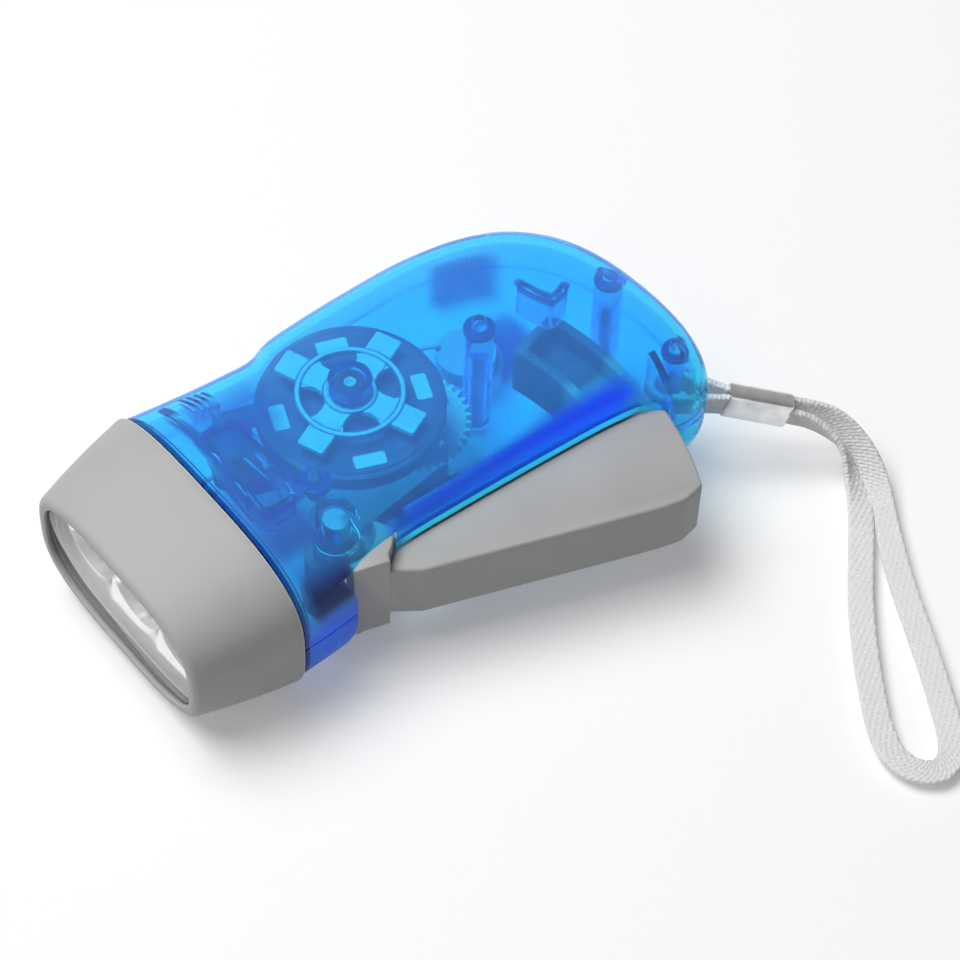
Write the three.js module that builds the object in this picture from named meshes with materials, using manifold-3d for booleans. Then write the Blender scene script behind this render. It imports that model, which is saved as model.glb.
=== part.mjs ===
// Squeeze dynamo flashlight, lying on its side: two see-through body shells, a grey head with three
// LED cups, a sprung squeeze lever with a gear train to a flywheel generator, and a wrist strap.
// Millimetres. X runs from the lens rim to the tail, the lever is on the -Y side and Z is the
// thickness. The pieces are made round the shells' seam plane, z = 0, and the whole is then moved
// so that its base stands on z = 0 with the body centred over the origin.
import * as THREE from 'three';
import { mergeVertices } from 'three/addons/utils/BufferGeometryUtils.js';
import Module from 'manifold-3d';

const wasm = await Module();
wasm.setup();

// Clearances
const fitGap = 0.3; // between pieces that touch or turn in each other
const seamGap = 0.3; // between the two shells
const rollGap = 0.5; // round what turns fast
const swingGap = 0.5; // round the lever's swing
const cutOver = 2; // how far a cutting solid runs past what it cuts

// Head
const headLength = 18;
const headFrontHalfWidth = 20.6;
const headRearHalfWidth = 24.7;
const headRearHalfHeight = 16; // the heights inside follow it
const headFrontHalfHeight = 0.775 * headRearHalfHeight;
const headBulge = 0.3;
const headPower = 3.1;
const headWall = 1.3;
const lipWall = 1.8;
const lipDepth = 1;
const lensRecess = 0.5; // how far the lens's face lies behind the rim
const lipRound = 0.9;
const lensThickness = 1.3; // of its edge, behind the lip

// Body shells
const shellStep = 0.4; // how far the shells lie inside the head's rear edge
const shellWall = 1.8;
const shellTailDrop = 0.7; // how much lower the shells are at the tail than the head's rear edge
const shellPower = 3.0;
const neckLength = 5;
const neckWall = 1.5;
const farRoom = 1.4; // between the flywheel's running gap and the far wall
const baseCut = 1; // how far the flat underside cuts into the head's rear edge

// Lever and its pivot
const pivot = new THREE.Vector2(31.5, -14.7);
const leverSwing = 16; // degrees
const armHalfHeight = 0.3656 * headRearHalfHeight;
const armReach = 58;
const armWall = 1.8;
const stubHalfHeight = 0.547 * headRearHalfHeight;
const stubRadius = 8.9;
const spineEnd = new THREE.Vector2(pivot.x + armReach - 5.5, -4); // middle of the round tail
const spineBendStart = 40;
const tailReach = 17.2; // from there to the tail's end
const barrelRadius = 5;
const pinRadius = 2;
const pinBossRadius = 3.9;
const pinSeatDepth = 0.231 * headRearHalfHeight;
const guideInner = armReach - 10.8;
const guideWall = 1.6;
const guideHalfHeight = armHalfHeight - 0.85;
const guideStart = -16; // degrees
const guideEnd = 15; // degrees

// Gear train
const driveModule = 0.8;
const sectorTeethFull = 72;
const sectorStart = -5; // degrees
const sectorEnd = 21; // degrees
const drivePinionTeeth = 10;
const speedModule = 0.5;
const speedWheelTeeth = 36;
const rotorPinionTeeth = 8;
const meshEase = 0.15; // added to each pair's centre distance
const toothShare = 0.4; // of the pitch, at the pitch circle
const sectorThickness = 0.1375 * headRearHalfHeight;
const drivePinionHeight = 0.2125 * headRearHalfHeight;
const speedWheelThickness = 0.125 * headRearHalfHeight;
const gearAxleRadius = 1;

// Generator
const rotor = new THREE.Vector2(49.1, 4.2);
const rotorShaftRadius = 1;
const flywheelRadius = 15.2;
const flywheelThickness = 0.175 * headRearHalfHeight;
const flywheelTop = 0.475 * headRearHalfHeight;
const slotLength = 5.2;
const slotWidth = 2.6;
const slotRadius = flywheelRadius - 3.6;
const spiderTop = 0.644 * headRearHalfHeight;
const spiderThickness = 0.075 * headRearHalfHeight;
const spiderRingRadius = 0.58 * flywheelRadius;
const spiderRingWidth = 0.9;
const spiderOpeningPlace = 0.82 * spiderRingRadius;
const spiderOpeningRadius = 0.34 * spiderRingRadius;
const spiderArmWidth = 4.6;
const spiderReach = flywheelRadius - 2.6;
const magnetRadius = 0.355 * flywheelRadius;
const magnetHeight = 0.3125 * headRearHalfHeight;
const magnetTop = flywheelTop - flywheelThickness - rollGap;
const stackHalfHeight = 0.1 * headRearHalfHeight;
const poleGap = 0.5;
const poleThickness = 1.8;
const coilDistance = flywheelRadius + 4.4;
const coilAngle = 160; // degrees
const coilLength = 8;
const windingRadius = 4;
const bobbinFlangeRadius = 4.3;
const bobbinFlangeThickness = 0.7;
const bobbinWall = 0.5;
const bushRadius = 2.2;
const bushLength = 0.125 * headRearHalfHeight;

// Posts that the shells are screwed together at: sink is how much higher than the base the curved
// underside is there
const posts = [
  { name: 'tail_near', x: spineEnd.x + 11, y: -20.8, radius: 1.8, sink: 2.9 },
  { name: 'tail_far', x: spineEnd.x + 11.2, y: -4.4, radius: 2.4, sink: 1.7 },
  { name: 'middle', x: spineEnd.x - 11.7, y: rotor.y + flywheelRadius - 18.8, radius: 2.4, sink: 0 },
  { name: 'front', x: pivot.x + 2, y: pivot.y + 7.5, radius: 1.6, sink: 0 },
];
const screwRadius = 0.9;
const screwHeadRadius = 1.7;
const screwHeadHeight = 1.1;
const screwTop = 0.3125 * headRearHalfHeight; // how far the screws reach above the seam plane

// Reflector and lights
const cupPitch = 12.2;
const cupRadius = 6.4;
const cupDepth = 8.2;
const cupFloorRadius = 3.2;
const cupWall = 0.8;
const flangeThickness = 0.9;
const ledRadius = 2.5;
const ledLength = 8.2;
const ledRimRadius = 2.9;
const boardThickness = 1.2;
const boardHalfHeight = 7;

// Storage capacitor
const capacitorSpot = new THREE.Vector2(spineEnd.x - 7.5, rotor.y + flywheelRadius - 10.8);
const capacitorRadius = 5;
const capacitorHeight = 0.2875 * headRearHalfHeight;
const capacitorBase = -0.669 * headRearHalfHeight;
const holderWall = 1;
const holderRise = 2;
const wireRadius = 0.5;

// Return spring round the pivot pin
const springWire = 0.7;
const springRadius = 3.3;
const springTurns = 3;
const springPitch = 0.075 * headRearHalfHeight;
const springSeat = 0.2125 * headRearHalfHeight;
const springPocketRadius = 6;
const springLegReach = 4.2;

// Wrist strap
const strapWidth = 5;
const strapThickness = 1.2;
const strapTiltStart = 12; // degrees from standing on edge, at the crimp
const strapTiltLying = 64; // degrees, where it lies on the table
const strapTiltTurn = 0.2; // share of the loop's length over which it turns over
const strandApart = 1.8;
const crimpWidth = 5.7;
const crimpThickness = 3.3;
const crimpEdge = 0.6;

const deg = THREE.MathUtils.degToRad;
const lerp = THREE.MathUtils.lerp;
const smoothstep = THREE.MathUtils.smoothstep;
const v2 = (x, y) => new THREE.Vector2(x, y);
const v3 = (x, y, z) => new THREE.Vector3(x, y, z);

// A closed geometry as a solid that can be joined and cut.
function solidOf(geometry) {
  const plain = geometry.clone();
  plain.deleteAttribute('normal');
  plain.deleteAttribute('uv');
  const merged = mergeVertices(plain, 1e-4);
  return new wasm.Manifold(new wasm.Mesh({
    numProp: 3,
    vertProperties: merged.attributes.position.array,
    triVerts: new Uint32Array(merged.index.array),
  }));
}

function geometryOf(solid) {
  const mesh = solid.getMesh();
  const geometry = new THREE.BufferGeometry();
  geometry.setAttribute('position', new THREE.BufferAttribute(mesh.vertProperties, 3));
  geometry.setIndex(new THREE.BufferAttribute(mesh.triVerts, 1));
  const flat = geometry.toNonIndexed();
  flat.computeVertexNormals();
  return flat;
}

const joined = (...solids) => solids.reduce((whole, solid) => whole.add(solid));
const cut = (solid, ...tools) => tools.reduce((whole, tool) => whole.subtract(tool), solid);

// A solid from a list of triangles, each three corners; corners that fall together are dropped.
function solidOfTriangles(triangles) {
  const kept = triangles.filter(([a, b, c]) =>
    a.distanceTo(b) > 1e-4 && b.distanceTo(c) > 1e-4 && c.distanceTo(a) > 1e-4);
  const geometry = new THREE.BufferGeometry();
  geometry.setFromPoints(kept.flat());
  return solidOf(geometry);
}

// Triangles between two rows of points, and a fan over a closed ring.
function strip(rowA, rowB, closed = false) {
  const triangles = [];
  const count = closed ? rowA.length : rowA.length - 1;
  for (let i = 0; i < count; i += 1) {
    const k = (i + 1) % rowA.length;
    triangles.push([rowA[i], rowA[k], rowB[k]], [rowA[i], rowB[k], rowB[i]]);
  }
  return triangles;
}

function fan(ring) {
  const centre = ring.reduce((sum, p) => sum.add(p), v3(0, 0, 0)).divideScalar(ring.length);
  return ring.map((p, i) => [centre, p, ring[(i + 1) % ring.length]]);
}

// A solid through closed rings of points, its ends closed.
function loft(rings) {
  const triangles = rings.slice(1).flatMap((ring, i) => strip(rings[i], ring, true));
  triangles.push(...fan([...rings[0]].reverse()), ...fan(rings[rings.length - 1]));
  return solidOfTriangles(triangles);
}

// Upright solids: a plan outline between two heights, and a round one.
function upright(points, low, high, holes = []) {
  const shape = new THREE.Shape(points);
  shape.holes = holes.map((hole) => new THREE.Path(hole));
  const geometry = new THREE.ExtrudeGeometry(shape, { depth: high - low, bevelEnabled: false });
  return solidOf(geometry.translate(0, 0, low));
}

function roundUpright(centre, radius, low, high, sides = 20) {
  const geometry = new THREE.CylinderGeometry(radius, radius, high - low, sides);
  geometry.rotateX(Math.PI / 2).translate(centre.x, centre.y, (low + high) / 2);
  return solidOf(geometry);
}

function ringUpright(centre, outer, inner, low, high, sides = 20) {
  return cut(
    roundUpright(centre, outer, low, high, sides),
    roundUpright(centre, inner, low - cutOver, high + cutOver, sides),
  );
}

const circle = (radius, count, centre = v2(0, 0)) => Array.from({ length: count }, (_, i) => {
  const angle = (2 * Math.PI * i) / count;
  return v2(centre.x + radius * Math.cos(angle), centre.y + radius * Math.sin(angle));
});

// Points of an arc round a centre, from one angle to another in degrees.
function arc(centre, radius, from, to, steps) {
  return Array.from({ length: steps + 1 }, (_, i) => {
    const angle = deg(lerp(from, to, i / steps));
    return v2(centre.x + radius * Math.cos(angle), centre.y + radius * Math.sin(angle));
  });
}

// Head section: a crowned oval whose half sizes grow from the rim to the rear edge.
const sectionSteps = 32;
function headHalfSizes(x) {
  const t = x / headLength;
  const bulge = 4 * headBulge * t * (1 - t);
  return {
    width: lerp(headFrontHalfWidth, headRearHalfWidth, t) + bulge,
    height: lerp(headFrontHalfHeight, headRearHalfHeight, t) + bulge,
  };
}

function powerOf(value, power) {
  return Math.sign(value) * Math.abs(value) ** (2 / power);
}

function headRing(x, inset, sizesAt = x) {
  const sizes = headHalfSizes(sizesAt);
  return Array.from({ length: sectionSteps }, (_, i) => {
    const angle = (2 * Math.PI * (i + 0.5)) / sectionSteps;
    return v3(
      x,
      (sizes.width - inset) * powerOf(Math.cos(angle), headPower),
      (sizes.height - inset) * powerOf(Math.sin(angle), headPower),
    );
  });
}

function headLoft(from, to, inset, steps = 6) {
  const rings = Array.from({ length: steps + 1 }, (_, i) => {
    const x = lerp(from, to, i / steps);
    return headRing(x, inset, THREE.MathUtils.clamp(x, 0, headLength));
  });
  return loft(rings);
}

const aboveFloor = () => {
  const size = 20 * headRearHalfHeight;
  const box = new THREE.BoxGeometry(size, size, size);
  return solidOf(box.translate(0, 0, size / 2 - floorDepth));
};

function headBezel() {
  const rings = [headRing(0, lipRound * 0.9), headRing(lipRound * 0.3, lipRound * 0.35), headRing(lipRound, 0)];
  const steps = 4;
  for (let i = 1; i <= steps; i += 1) rings.push(headRing(lerp(lipRound, headLength, i / steps), 0));
  const opening = headLoft(-cutOver, lipDepth + cutOver, lipWall, 2);
  const hollow = headLoft(lipDepth, headLength + cutOver, headWall, 4);
  return cut(loft(rings), opening, hollow).intersect(aboveFloor());
}

const lensFront = lipDepth + fitGap;
const lensInset = headWall + fitGap;
const reflectorFront = lensFront + lensThickness + fitGap;

function frontLens() {
  const edge = headLoft(lensFront, lensFront + lensThickness, lensInset, 1);
  return joined(edge, headLoft(lensRecess, lensFront + lensThickness / 2, lipWall + fitGap, 1));
}

const cupPlaces = [-1, 0, 1].map((i) => i * cupPitch);

// A bowl whose axis runs along X, from its open end backwards.
function bowl(y, radius, floorRadius, from, depth, steps = 4) {
  const profile = [v2(0, 0), v2(radius, 0)];
  for (let i = 1; i <= steps; i += 1) {
    const t = i / steps;
    profile.push(v2(lerp(radius, floorRadius, t ** 1.8), depth * t));
  }
  profile.push(v2(0, depth));
  const geometry = new THREE.LatheGeometry(profile, 20);
  geometry.rotateZ(-Math.PI / 2).translate(from, y, 0);
  const solid = solidOf(geometry);
  return solid.volume() < 0 ? solidOf(flipped(geometry)) : solid;
}

function flipped(geometry) {
  const turned = geometry.clone();
  const index = turned.index.array;
  for (let i = 0; i < index.length; i += 3) [index[i + 1], index[i + 2]] = [index[i + 2], index[i + 1]];
  return turned;
}

function reflector() {
  const flange = headLoft(reflectorFront, reflectorFront + flangeThickness, lensInset, 1);
  const cups = cupPlaces.map((y) => bowl(y, cupRadius + cupWall, cupFloorRadius + cupWall,
    reflectorFront, cupDepth));
  const bowls = cupPlaces.map((y) => bowl(y, cupRadius, cupFloorRadius, reflectorFront - 0.01, cupDepth + 1));
  const body = joined(flange, ...cups);
  const limit = headLoft(reflectorFront - cutOver, reflectorFront + cupDepth + cutOver, lensInset, 2);
  return cut(body, ...bowls).intersect(limit);
}

const boardFront = reflectorFront + cupDepth + 1.8;
const ledBack = boardFront - fitGap;

function led() {
  const rim = 1;
  const dome = ledRadius;
  const profile = [v2(0, 0), v2(ledRimRadius, 0), v2(ledRimRadius, rim), v2(ledRadius, rim)];
  for (let i = 0; i <= 4; i += 1) {
    const angle = (Math.PI / 2) * (i / 4);
    profile.push(v2(i === 4 ? 0 : dome * Math.cos(angle), ledLength - dome + dome * Math.sin(angle)));
  }
  const geometry = new THREE.LatheGeometry(profile, 16);
  geometry.rotateZ(Math.PI / 2).translate(ledBack, 0, 0);
  return geometry;
}

// Half width of a head section, held in by an inset, at a height above its middle.
function headHalfWidthAt(x, inset, height) {
  const sizes = headHalfSizes(x);
  const up = height / (sizes.height - inset);
  return (sizes.width - inset) * (1 - up ** headPower) ** (1 / headPower);
}

function ledBoard() {
  const room = headHalfWidthAt(boardFront, headWall + fitGap + neckWall, boardHalfHeight);
  const plate = new THREE.BoxGeometry(boardThickness, 2 * (room - fitGap), 2 * boardHalfHeight);
  return solidOf(plate.translate(boardFront + boardThickness / 2, 0, 0));
}

// Body outline at the seam, from the head along the far side, round the tail and back along the
// lever's side: what the far side and the lever's side share is their list of X places.
const bodyStart = headLength + fitGap;
const shellFrontHalfWidth = headRearHalfWidth - shellStep;
const shellFrontHalfHeight = headRearHalfHeight - shellStep;
const farWidth = rotor.y + flywheelRadius + rollGap + shellWall + farRoom;
const tailWidth = 0.861 * farWidth;
// Places along a side, as shares of the way from the head to the middle of the tail.
const along = (share) => lerp(bodyStart, spineEnd.x, share);
const farSide = [
  [along(0), shellFrontHalfWidth], [along(0.117), 0.991 * farWidth], [along(0.239), 0.939 * farWidth],
  [along(0.346), 0.918 * farWidth], [along(0.406), 0.978 * farWidth], [along(0.513), farWidth],
  [along(0.665), 1.004 * farWidth], [along(0.817), 0.987 * farWidth], [along(0.939), 0.922 * farWidth],
  [along(1), tailWidth],
];
const tailEnd = [
  [0, tailWidth], [0.262, 0.884 * tailWidth], [0.523, 0.693 * tailWidth], [0.756, 0.412 * tailWidth],
  [0.907, 0.07 * tailWidth], [0.983, -6.5], [1, -14], [0.965, -20], [0.86, -25], [0.698, -27.8],
  [0.488, -28.6], [0.244, -27.4], [0, -25.2],
].map(([share, y]) => [spineEnd.x + share * tailReach, y]);
const nearSide = [
  [along(0), -shellFrontHalfWidth], [along(0.087), -24.2], [along(0.151), -23.9], [along(0.209), -22.6],
  [along(0.33), -21.9], [along(0.482), -22.3], [along(0.635), -22.9], [along(0.787), -23.6],
  [along(0.909), -24.3], [along(1), -25.2],
];

function curveThrough(pairs) {
  return new THREE.CatmullRomCurve3(pairs.map(([x, y]) => v3(x, y, 0)), false, 'centripetal');
}

// The Y of a side's curve at an X place.
function yAt(curve, x) {
  let low = 0;
  let high = 1;
  for (let i = 0; i < 40; i += 1) {
    const middle = (low + high) / 2;
    if (curve.getPoint(middle).x < x) low = middle;
    else high = middle;
  }
  return curve.getPoint((low + high) / 2).y;
}

const spineY = (x) => spineEnd.y * smoothstep(x, spineBendStart, spineEnd.x);
const floorDepth = headRearHalfHeight - baseCut;
const shellTailHalfHeight = headRearHalfHeight - shellTailDrop;
const shellTop = (x) => lerp(shellFrontHalfHeight, shellTailHalfHeight, smoothstep(x, 30, spineEnd.x));

// Rows of the shell's surface: each outline point is paired with a point of the spine.
const sideSteps = 12;
const tailSteps = 16;
const crownSteps = 7;
function outlinePairs() {
  const far = curveThrough(farSide);
  const near = curveThrough(nearSide);
  const tail = curveThrough(tailEnd);
  const places = Array.from({ length: sideSteps }, (_, i) => lerp(bodyStart, spineEnd.x, i / sideSteps));
  const pairs = places.map((x) => ({ edge: v2(x, yAt(far, x)), spine: v2(x, spineY(x)) }));
  for (let i = 0; i <= tailSteps; i += 1) {
    const p = tail.getPoint(i / tailSteps);
    pairs.push({ edge: v2(p.x, p.y), spine: spineEnd.clone() });
  }
  const back = places.map((x) => ({ edge: v2(x, yAt(near, x)), spine: v2(x, spineY(x)) }));
  return pairs.concat(back.reverse());
}

// One row of the outer or inner surface, from the seam up to the spine.
function crownRow({ edge, spine }, inset) {
  const reach = edge.distanceTo(spine);
  const share = (reach - inset) / reach;
  const top = shellTop(spine.x) - inset;
  return Array.from({ length: crownSteps + 1 }, (_, j) => {
    const angle = (Math.PI / 2) * (j / crownSteps);
    const out = j === crownSteps ? 0 : share * powerOf(Math.cos(angle), shellPower);
    const up = powerOf(Math.sin(angle), shellPower);
    return v3(
      lerp(spine.x, edge.x, out),
      lerp(spine.y, edge.y, out),
      seamGap / 2 + (top - seamGap / 2) * up,
    );
  });
}

function shellHalf() {
  const pairs = outlinePairs();
  const outer = pairs.map((pair) => crownRow(pair, 0));
  const inner = pairs.map((pair) => crownRow(pair, shellWall));
  const triangles = [];
  for (let i = 1; i < pairs.length; i += 1) {
    triangles.push(...strip(outer[i - 1], outer[i]));
    triangles.push(...strip(inner[i], inner[i - 1]));
  }
  const last = pairs.length - 1;
  triangles.push(...strip(outer.map((row) => row[0]), inner.map((row) => row[0])));
  triangles.push(...strip(inner[0], outer[0]), ...strip(outer[last], inner[last]));
  const solid = solidOfTriangles(triangles.map(([a, b, c]) => [a, c, b]));
  return solid.volume() < 0 ? solidOfTriangles(triangles) : solid;
}

// The filled form of one half, held in by an inset, that trims what stands inside the shell.
function hullHalf(inset) {
  const pairs = outlinePairs();
  const rows = pairs.map((pair) => crownRow(pair, inset));
  const foot = pairs.map(({ spine }) => v3(spine.x, spine.y, seamGap / 2));
  const last = pairs.length - 1;
  const triangles = [];
  for (let i = 1; i <= last; i += 1) triangles.push(...strip(rows[i - 1], rows[i]));
  triangles.push(...strip(rows.map((row) => row[0]), foot));
  for (let j = 0; j < crownSteps; j += 1) {
    triangles.push([foot[0], rows[0][j + 1], rows[0][j]], [foot[last], rows[last][j], rows[last][j + 1]]);
  }
  return solidOfTriangles(triangles);
}

// The neck slides into the head: a thin collar of the head's own section, halved at the seam.
function neckHalf() {
  const inset = headWall + fitGap;
  const outer = headLoft(headLength - neckLength, bodyStart + shellWall, inset, 2);
  const inner = headLoft(headLength - neckLength - cutOver, bodyStart + shellWall + cutOver, inset + neckWall, 2);
  const size = 20 * headRearHalfHeight;
  const box = new THREE.BoxGeometry(size, size, size);
  return cut(outer, inner).intersect(solidOf(box.translate(0, 0, (size + seamGap) / 2)));
}

// Where the lever passes: an arc-ended slot for the arm and a round recess for the stub.
const stubEdge = 29.3; // X of the stub's face towards the head
function leverWay() {
  const armTop = armHalfHeight + swingGap;
  const stubTop = stubHalfHeight + fitGap;
  const armSlot = upright([
    v2(pivot.x, pivot.y - armReach), v2(pivot.x + barrelRadius, pivot.y),
    ...arc(pivot, armReach + swingGap, -8, -60, 14),
  ].reverse(), -armTop, armTop);
  const stubWay = roundUpright(pivot, stubRadius + swingGap, -stubTop, stubTop, 32);
  const mouth = upright([
    v2(stubEdge - fitGap, pivot.y), v2(stubEdge - fitGap, pivot.y - 2 * stubRadius),
    v2(pivot.x + barrelRadius, pivot.y - 2 * stubRadius), v2(pivot.x + barrelRadius, pivot.y),
  ], -stubTop, stubTop);
  return joined(armSlot, stubWay, mouth);
}

// The wall that closes the tail at the end of the lever's slot.
function slotEndWall(low, high) {
  const inside = arc(pivot, armReach + swingGap + 0.1, -16, -5, 5);
  const outside = arc(pivot, armReach + swingGap + 1.3, -5, -16, 5);
  return upright([...outside, ...inside].reverse(), low, high);
}

const pinHalfLength = stubHalfHeight + pinSeatDepth;
const bushTop = spiderTop + rollGap + bushLength;
const gearAxleLow = -floorDepth + shellWall + 0.6;
const screwSeat = ({ sink }) => sink - floorDepth + screwHeadHeight + 1.2;
const lowBushTop = -floorDepth + shellWall + bushLength + 1.2;
const screwCollarWall = 1.1;
const bushBossWall = 1.3;
const axleBossWall = 1.6;

// What stands on the inside of a half runs into the middle of its wall.
function standing(half, ...solids) {
  return joined(half, joined(...solids).intersect(hullHalf(shellWall / 2)));
}

function upperShell() {
  const half = standing(
    joined(shellHalf(), neckHalf()),
    ...posts.map((post) => roundUpright(post, post.radius, seamGap / 2, shellFrontHalfHeight)),
    roundUpright(pivot, pinBossRadius, stubHalfHeight + 2 * fitGap, shellFrontHalfHeight, 24),
    roundUpright(rotor, bushRadius + bushBossWall, spiderTop + rollGap, shellFrontHalfHeight, 24),
    slotEndWall(seamGap / 2, shellFrontHalfHeight),
  );
  const holes = [
    ...posts.map((post) => roundUpright(post, screwRadius + fitGap, -1, screwTop, 12)),
    roundUpright(pivot, pinRadius + fitGap, stubHalfHeight, pinHalfLength + fitGap, 20),
    roundUpright(rotor, bushRadius + fitGap, spiderTop - 1, bushTop + fitGap, 20),
  ];
  return cut(half, leverWay(), strapWay(), ...holes);
}

function capacitorHolder() {
  const wall = capacitorRadius + fitGap + holderWall;
  const ring = ringUpright(capacitorSpot, wall, capacitorRadius + fitGap, capacitorBase - fitGap - 0.1,
    capacitorBase + holderRise, 24);
  return joined(roundUpright(capacitorSpot, wall, -floorDepth, capacitorBase - fitGap, 24), ring);
}

function lowerShell() {
  const floor = -shellFrontHalfHeight;
  const inside = joined(
    ...posts.map((post) => roundUpright(post, post.radius, floor, -seamGap / 2)),
    ...posts.map((post) => roundUpright(post, screwHeadRadius + fitGap + screwCollarWall, floor,
      screwSeat(post) + screwCollarWall)),
    roundUpright(pivot, pinBossRadius, floor, -stubHalfHeight - 2 * fitGap, 24),
    roundUpright(rotor, bushRadius + bushBossWall, floor, lowBushTop, 24),
    roundUpright(gearCentre, gearAxleRadius + axleBossWall, floor, gearSeat, 20),
    slotEndWall(floor, -seamGap / 2),
    capacitorHolder(),
  ).mirror([0, 0, 1]);
  const half = standing(joined(shellHalf(), neckHalf()), inside).mirror([0, 0, 1]).intersect(aboveFloor());
  const below = -shellFrontHalfHeight - cutOver;
  const holes = [
    ...posts.map((post) => roundUpright(post, screwRadius + fitGap, below, 1, 12)),
    ...posts.map((post) => roundUpright(post, screwHeadRadius + fitGap, below, screwSeat(post), 16)),
    roundUpright(pivot, pinRadius + fitGap, -pinHalfLength - fitGap, 0, 20),
    roundUpright(rotor, bushRadius + fitGap, lowBushTop - bushLength - fitGap, 0, 20),
    roundUpright(gearCentre, gearAxleRadius + fitGap, gearAxleLow - fitGap, 0, 12),
  ];
  return cut(half, leverWay(), strapWay(), ...holes);
}

// Gear centres, from the pitch radii.
const pitch = (teeth, module) => (teeth * module) / 2;
const sectorPitch = pitch(sectorTeethFull, driveModule);
const drivePitch = pitch(drivePinionTeeth, driveModule);
const speedPitch = pitch(speedWheelTeeth, speedModule);
const rotorPitch = pitch(rotorPinionTeeth, speedModule);
function meeting(a, fromA, b, fromB) {
  const span = a.distanceTo(b);
  const along = (fromA ** 2 - fromB ** 2 + span ** 2) / (2 * span);
  const aside = Math.sqrt(fromA ** 2 - along ** 2);
  const dir = b.clone().sub(a).divideScalar(span);
  return v2(a.x + dir.x * along + dir.y * aside, a.y + dir.y * along - dir.x * aside);
}
const gearCentre = meeting(pivot, sectorPitch + drivePitch + meshEase, rotor, speedPitch + rotorPitch + meshEase);
const angleTo = (a, b) => Math.atan2(b.y - a.y, b.x - a.x);

// Heights of the train, from the sector up.
const sectorLow = -stubHalfHeight;
const gearSeat = sectorLow - fitGap - 0.4;
const drivePinionLow = gearSeat + fitGap;
const speedWheelLow = drivePinionLow + drivePinionHeight + fitGap;
const rotorPinionLow = speedWheelLow - 0.4;
const rotorPinionHeight = speedWheelThickness + 0.8;

// A spur gear's outline, its first tooth pointing along the given angle.
function gearOutline(teeth, module, toothAngle, from = 0, count = teeth) {
  const radius = pitch(teeth, module);
  const tip = radius + 0.8 * module;
  const root = radius - 1.1 * module;
  const step = (2 * Math.PI) / teeth;
  const points = [];
  for (let i = from; i < from + count; i += 1) {
    const middle = toothAngle + i * step;
    const corners = [
      [root, -step * (toothShare * 0.5 + 0.13)], [tip, -step * toothShare * 0.26],
      [tip, step * toothShare * 0.26], [root, step * (toothShare * 0.5 + 0.13)],
    ];
    corners.forEach(([r, a]) => points.push(v2(r * Math.cos(middle + a), r * Math.sin(middle + a))));
  }
  return points;
}

const moved = (points, centre) => points.map((p) => v2(p.x + centre.x, p.y + centre.y));

const meshAngleSector = angleTo(pivot, gearCentre);
const meshAngleSpeed = angleTo(gearCentre, rotor);
const halfStep = (teeth) => Math.PI / teeth;

// The sector gear's fan, keyed to the lever by a peg.
const pegRadius = 1.1;
const pegPlace = arc(pivot, 5.4, 30, 30, 1)[0];
function sectorGear() {
  const step = 360 / sectorTeethFull;
  const first = Math.ceil((sectorStart - THREE.MathUtils.radToDeg(meshAngleSector)) / step);
  const count = Math.floor((sectorEnd - sectorStart) / step);
  const teeth = moved(gearOutline(sectorTeethFull, driveModule, meshAngleSector, first, count), pivot);
  const outline = [...teeth, ...arc(pivot, barrelRadius + 0.6, 75, 330, 12)];
  const plate = upright(outline, sectorLow, sectorLow + sectorThickness);
  return cut(
    plate,
    roundUpright(pivot, pinRadius + fitGap, sectorLow - 1, sectorLow + 5),
    roundUpright(pegPlace, pegRadius + fitGap, sectorLow - 1, sectorLow + 5, 12),
  );
}

function drivePinion() {
  const outline = gearOutline(drivePinionTeeth, driveModule, meshAngleSector + Math.PI + halfStep(drivePinionTeeth));
  const body = upright(moved(outline, gearCentre), drivePinionLow, drivePinionLow + drivePinionHeight);
  return cut(body, roundUpright(gearCentre, gearAxleRadius + fitGap, -20, 20, 12));
}

function speedWheel() {
  const outline = gearOutline(speedWheelTeeth, speedModule, meshAngleSpeed);
  const body = upright(moved(outline, gearCentre), speedWheelLow, speedWheelLow + speedWheelThickness);
  const windows = [0, 1, 2, 3].map((i) => {
    const spot = arc(gearCentre, speedPitch * 0.56, i * 90, i * 90, 1)[0];
    return roundUpright(spot, speedPitch * 0.22, -20, 20, 12);
  });
  return cut(body, roundUpright(gearCentre, gearAxleRadius + fitGap, -20, 20, 12), ...windows);
}

function rotorPinion() {
  const outline = gearOutline(rotorPinionTeeth, speedModule, meshAngleSpeed + Math.PI + halfStep(rotorPinionTeeth));
  const body = upright(moved(outline, rotor), rotorPinionLow, rotorPinionLow + rotorPinionHeight);
  return cut(body, roundUpright(rotor, rotorShaftRadius + 0.25, -20, 20, 12));
}

function gearAxle() {
  return roundUpright(gearCentre, gearAxleRadius, gearAxleLow, speedWheelLow + speedWheelThickness + 1, 16);
}

// Rotor
const shaftLow = lowBushTop - bushLength + 0.2;
function rotorShaft() {
  return roundUpright(rotor, rotorShaftRadius, shaftLow, bushTop - 0.2, 16);
}

function slotAt(index) {
  const shape = [
    v2(-slotLength / 2, -slotWidth / 2), v2(slotLength / 2, -slotWidth / 2),
    v2(slotLength / 2, slotWidth / 2), v2(-slotLength / 2, slotWidth / 2),
  ];
  const angle = deg(spiderAngle + 45 + 90 * index);
  return shape.map((p) => {
    const x = p.y + slotRadius;
    const y = p.x;
    return v2(rotor.x + x * Math.cos(angle) - y * Math.sin(angle), rotor.y + x * Math.sin(angle) + y * Math.cos(angle));
  });
}

const spiderAngle = 22;
const slots = [0, 1, 2, 3].map(slotAt);

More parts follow.
